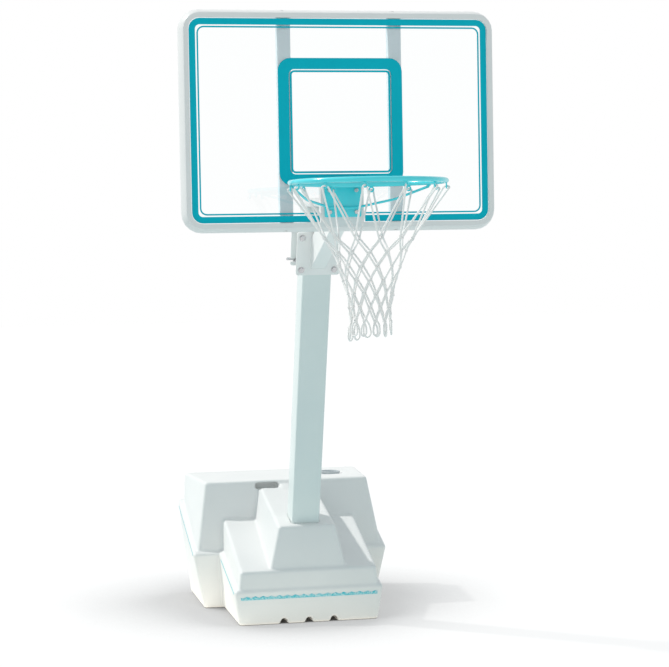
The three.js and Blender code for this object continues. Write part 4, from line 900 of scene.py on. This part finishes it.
# %% [markdown]
# ## The net
# A basketball net is knotted from one kind of twisted cord. Each loop hangs over an eye, its two legs
# meet the neighbours' legs in a knot, and six more rows of knots draw the mesh in before the last loops
# hang free. The knots' places come from the ring, and each is a little out of line, as hand-tied ones
# are. The cord's tube has three lobes that wind along it, which is what twisted strands look like close
# by.

# %% Places in the net
CORD_RADIUS = 2.9 * MM
CORD_PITCH = 13 * MM
CORD_STEP = 3 * MM
NET_FIRST_DROP = 171 * MM
NET_ROW_DROP = 42 * MM
NET_LOOP_DROP = 47 * MM
NET_LOOP_HALF = 9 * MM
NET_LEG_OUT = 9 * MM
NET_LEG_DROP = 4 * MM
NET_LEG_SPREAD = 5 * MM
CORD_GAP = 0.9 * MM
NET_SWAY = 4 * MM  # a knot sits this far out of line at most
ROW_TURN, EYE_TURN = 7, 5  # how the sway changes from row to row and from eye to eye
CORD_SIDES, CORD_STRANDS, STRAND_DEPTH = 9, 3, 0.12
LEG_SHARES = (0.35, 0.7, 0.92)  # places on the straight legs below an eye
KNOT_TURNS, KNOT_STEPS = 1.6, 14
KNOT_HEIGHT, KNOT_REACH = 8 * MM, 2.6 * MM
KNOT_TILT = 0.3
KNOT_CORD_SHARE, KNOT_SIDES = 0.85, 7  # the cord is drawn thinner in a knot
LOOP_SWING = 12 * MM
LOOP_TWIST = 0.35
LOOP_SAG, LOOP_GIVE = 2.5, 0.8  # how much of the sway a free loop's length and width take
LOOP_OUTLINE = ((-0.7, 0.25), (-1, 0.55), (-0.9, 0.85), (0, 1), (0.9, 0.85), (1, 0.55), (0.7, 0.25))
WAIST_SHARES = [0.583, 0.472, 0.4, 0.345, 0.295, 0.264, 0.262]
END_SHARE = 0.272
rows = len(WAIST_SHARES)


def sway(row, i):
    return NET_SWAY * math.sin(ROW_TURN * row + EYE_TURN * i + row * i)


def knot_place(row, i):
    angle = eye_angle(0) + math.tau / EYE_COUNT * (i + (0 if row % 2 else 0.5))
    reach = ring_radius * WAIST_SHARES[row] + sway(row, i) / 2
    drop = NET_FIRST_DROP + NET_ROW_DROP * row + sway(row, i + rows)
    return round_rim(angle, reach - ring_radius, drop)


print("knots", rows * EYE_COUNT, "from", round(NET_FIRST_DROP / MM), "mm below the ring")

# %% Cord, knots and free loops
def slack(a, b, out):
    """a, a middle that gives a little towards or from the net's axis, and b."""
    middle = (a + b) / 2
    away = Vector((middle.x - rim_centre.x, middle.y - rim_centre.y, 0)).normalized()
    return [a, middle + away * out, b]


def cord(corners):
    return sweep(smooth_path(corners, CORD_STEP), CORD_RADIUS, CORD_SIDES, lobes=CORD_STRANDS,
                 lobe_depth=STRAND_DEPTH, pitch=CORD_PITCH)


def knot(place, down):
    """A turn and a half of cord drawn tight round the strands."""
    side = down.orthogonal().normalized()
    other = down.cross(side)
    path = []
    for k in range(KNOT_STEPS + 1):
        t = k / KNOT_STEPS
        turn = math.tau * KNOT_TURNS * t
        outward = side * math.cos(turn) + other * math.sin(turn)
        path.append(place + down * (t - 0.5) * KNOT_HEIGHT + outward * KNOT_REACH)
    return sweep(path, CORD_RADIUS * KNOT_CORD_SHARE, KNOT_SIDES)


def end_loop(i):
    """The free loop that hangs from the last row's knot i."""
    last = knot_place(rows - 1, i)
    angle = math.atan2(last.y - rim_centre.y, last.x - rim_centre.x)
    top = rim_centre.z - last.z
    low = top + NET_LOOP_DROP + sway(rows, i) * LOOP_SAG
    reach = ring_radius * END_SHARE
    spread = (NET_LOOP_HALF + sway(rows, i) * LOOP_GIVE) / reach
    twist = LOOP_TWIST * sway(i, rows) / NET_SWAY

    def at(side, share):
        out = reach - ring_radius + side * twist * LOOP_SWING
        return round_rim(angle + (side + twist * share) * spread, out, top + (low - top) * share)

    return [last, *(at(side, share) for side, share in LOOP_OUTLINE), last]


# %% The whole net
def make_net():
    parts = []
    rest = eye_drop + EYE_RADIUS - EYE_WIRE - CORD_RADIUS - CORD_GAP
    for i in range(EYE_COUNT):
        angle = eye_angle(i)
        tangent = Vector((-math.sin(angle), math.cos(angle), 0))
        left, right = knot_place(0, i - 1), knot_place(0, i)
        top = round_rim(angle, 0, rest)
        outer = round_rim(angle, NET_LEG_OUT, rest + NET_LEG_DROP) - tangent * NET_LEG_SPREAD
        inner = round_rim(angle, -NET_LEG_OUT, rest + NET_LEG_DROP) + tangent * NET_LEG_SPREAD
        parts.append(cord([left, *(left.lerp(outer, share) for share in LEG_SHARES), outer, top,
                           inner, *(right.lerp(inner, share) for share in reversed(LEG_SHARES)), right]))
        for row in range(rows):
            here = knot_place(row, i)
            if row + 1 < rows:
                for shift in (0, -1 if row % 2 else 1):
                    there = knot_place(row + 1, i + shift)
                    parts.append(cord(slack(here, there, sway(row, i + shift) / 2)))
            tilt = KNOT_TILT / NET_SWAY
            parts.append(knot(here, Vector((sway(row, i) * tilt, sway(i, row) * tilt, -1)).normalized()))
        parts.append(cord(end_loop(i)))
    return mesh_of("knotted_net", *gathered(parts))


net = place_piece(make_net(), finishes["net_cord"], "hoop_head", ["net"])
print("net vertices", len(net.data.vertices))

# %% [markdown]
# ## Light and world
# The photograph is a cut-out on white with the sun from the left and behind: left sides and tops are
# bright, and fronts lie in a cool, soft shade. A broad sun lamp and a cool world do that at a level where
# a colour renders about as it is written. The camera, and rays that pass through the panel or mirror in
# paint, see white.

# %% The world
WORLD_STRENGTH = 0.6
WORLD_COLOUR = (0.84, 0.96, 1.0)


def seen_directly(tree):
    """1 for rays from the camera, through glass or off a gloss, and 0 for the rest."""
    path = tree.nodes.new("ShaderNodeLightPath")
    first = arithmetic(tree, "MAXIMUM", path.outputs["Is Camera Ray"], path.outputs["Is Glossy Ray"])
    return arithmetic(tree, "MAXIMUM", first, path.outputs["Is Transmission Ray"])


def finish_with_two_faces(tree, bounced, seen, output):
    """One shader for the light that bounces and another for what is seen directly."""
    mix, out = tree.nodes.new("ShaderNodeMixShader"), tree.nodes.new(output)
    tree.links.new(seen_directly(tree), mix.inputs["Fac"])
    tree.links.new(bounced, mix.inputs[1])
    tree.links.new(seen, mix.inputs[2])
    tree.links.new(mix.outputs["Shader"], out.inputs["Surface"])


def light_world():
    world = bpy.data.worlds.new("studio")
    bpy.context.scene.world = world
    world.use_nodes = True
    tree = world.node_tree
    tree.nodes.clear()
    soft, white = tree.nodes.new("ShaderNodeBackground"), tree.nodes.new("ShaderNodeBackground")
    soft.inputs["Color"].default_value = (*WORLD_COLOUR, 1)
    soft.inputs["Strength"].default_value = WORLD_STRENGTH
    white.inputs["Color"].default_value = (1, 1, 1, 1)
    finish_with_two_faces(tree, soft.outputs["Background"], white.outputs["Background"],
                          "ShaderNodeOutputWorld")


light_world()
print("world strength", WORLD_STRENGTH)

# %% The sun
SUN_FROM = Vector((-0.85, 0.42, 1.05))
SUN_STRENGTH = 2.15
SUN_WIDTH = math.radians(2.5)
SUN_COLOUR = (1.0, 0.98, 0.95)


def hang_sun():
    data = bpy.data.lights.new("sun", "SUN")
    data.energy = SUN_STRENGTH
    data.angle = SUN_WIDTH
    data.color = SUN_COLOUR
    sun = bpy.data.objects.new("sun", data)
    sun.rotation_mode = "QUATERNION"
    sun.rotation_quaternion = SUN_FROM.to_track_quat("Z", "Y")
    bpy.context.scene.collection.objects.link(sun)


hang_sun()
bpy.context.scene.view_settings.view_transform = "Standard"
print("sun strength", SUN_STRENGTH)

# %% [markdown]
# ## The floor
# The floor has two faces. To light that bounces it is a warm deck round the tank, which also glows a little
# as a deck in full sun does, cool water beyond and a pale far bank. That tints the low fronts warm and the
# rest cool. To the camera it is a pale, glowing sheet. It glows less where the tank hides much of the sky,
# which ambient occlusion measures, so a painted soft contact shadow lies round the base and painted shade
# darkens the drain grooves. A diffuse share keeps the sun's shadow.

# %% The floor's face for light that bounces
DECK_COLOUR = (0.97, 0.92, 0.84)
DECK_GLOW = 0.42
DECK_NEAR, DECK_FAR = 0.48, 0.95
WATER_NEAR, WATER_FAR = 1.4, 2.8
WATER_COLOUR = (0.44, 0.6, 0.64)
OUTER_COLOUR = (0.8, 0.83, 0.82)


def diffuse_and_glow(tree, colour, glow_colour, glow):
    diffuse, emission = tree.nodes.new("ShaderNodeBsdfDiffuse"), tree.nodes.new("ShaderNodeEmission")
    both = tree.nodes.new("ShaderNodeAddShader")
    feed(tree, colour, diffuse.inputs["Color"])
    feed(tree, glow_colour, emission.inputs["Color"])
    feed(tree, glow, emission.inputs["Strength"])
    tree.links.new(diffuse.outputs["BSDF"], both.inputs[0])
    tree.links.new(emission.outputs["Emission"], both.inputs[1])
    return both.outputs["Shader"]


def bounced_face(tree):
    """Deck, water and far bank by their distance from the tank."""
    place, distance = tree.nodes.new("ShaderNodeNewGeometry"), tree.nodes.new("ShaderNodeVectorMath")
    distance.operation = "LENGTH"
    tree.links.new(place.outputs["Position"], distance.inputs[0])
    off_deck = ramp_between(tree, distance.outputs["Value"], DECK_NEAR, DECK_FAR)
    off_water = ramp_between(tree, distance.outputs["Value"], WATER_NEAR, WATER_FAR)
    near = colour_between(tree, off_deck, (*DECK_COLOUR, 1), (*WATER_COLOUR, 1))
    colour = colour_between(tree, off_water, near, (*OUTER_COLOUR, 1))
    glow = arithmetic(tree, "MULTIPLY", arithmetic(tree, "SUBTRACT", 1.0, off_deck), DECK_GLOW)
    return diffuse_and_glow(tree, colour, (*DECK_COLOUR, 1), glow)


# %% The floor's face for the camera
FLOOR_GREY = (0.16, 0.16, 0.16)
CONTACT_GLOW, OPEN_GLOW = 0.5, 0.87
CONTACT_REACH = 0.6
CONTACT_OPEN = 0.7  # open share of the sky below which the painted contact shadow is full
HOLLOW_DARK, HOLLOW_OPEN = 0.08, 0.48  # and where the floor's glow turns dark, as painted shade in hollows such as the drain grooves
OCCLUSION_SAMPLES = 12


def seen_face(tree):
    """Pale and glowing, with painted shadow where little of the sky is open."""
    contact, spread = tree.nodes.new("ShaderNodeAmbientOcclusion"), tree.nodes.new("ShaderNodeMapRange")
    contact.samples = OCCLUSION_SAMPLES
    contact.inputs["Distance"].default_value = CONTACT_REACH
    spread.inputs["From Min"].default_value = CONTACT_OPEN
    spread.inputs["To Min"].default_value = CONTACT_GLOW
    spread.inputs["To Max"].default_value = OPEN_GLOW
    tree.links.new(contact.outputs["AO"], spread.inputs["Value"])
    # Painted shade: the glow fades to dark in hollows such as the drain grooves.
    painted_hollow_shade = ramp_between(tree, contact.outputs["AO"], HOLLOW_DARK, HOLLOW_OPEN)
    glow = arithmetic(tree, "MULTIPLY", spread.outputs["Result"], painted_hollow_shade)
    return diffuse_and_glow(tree, (*FLOOR_GREY, 1), (1, 1, 1, 1), glow)


# %% Lay the floor
FLOOR_SIZE = 60


def lay_floor():
    half = FLOOR_SIZE / 2
    corners = [(-half, -half, 0), (half, -half, 0), (half, half, 0), (-half, half, 0)]
    floor = mesh_of("floor", corners, [(0, 1, 2, 3)])
    material = bpy.data.materials.new("floor")
    material.use_nodes = True
    tree = material.node_tree
    tree.nodes.clear()
    finish_with_two_faces(tree, bounced_face(tree), seen_face(tree), "ShaderNodeOutputMaterial")
    floor.data.materials.append(material)
    floor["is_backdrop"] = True


lay_floor()
print("floor", FLOOR_SIZE, "m wide")

# %% [markdown]
# ## Sizes
# The dressed model's box, printed in millimetres.

# %% Write the sizes and finish
low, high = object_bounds()
print("visual box in mm", [round(v / MM) for v in (*low, *high)])
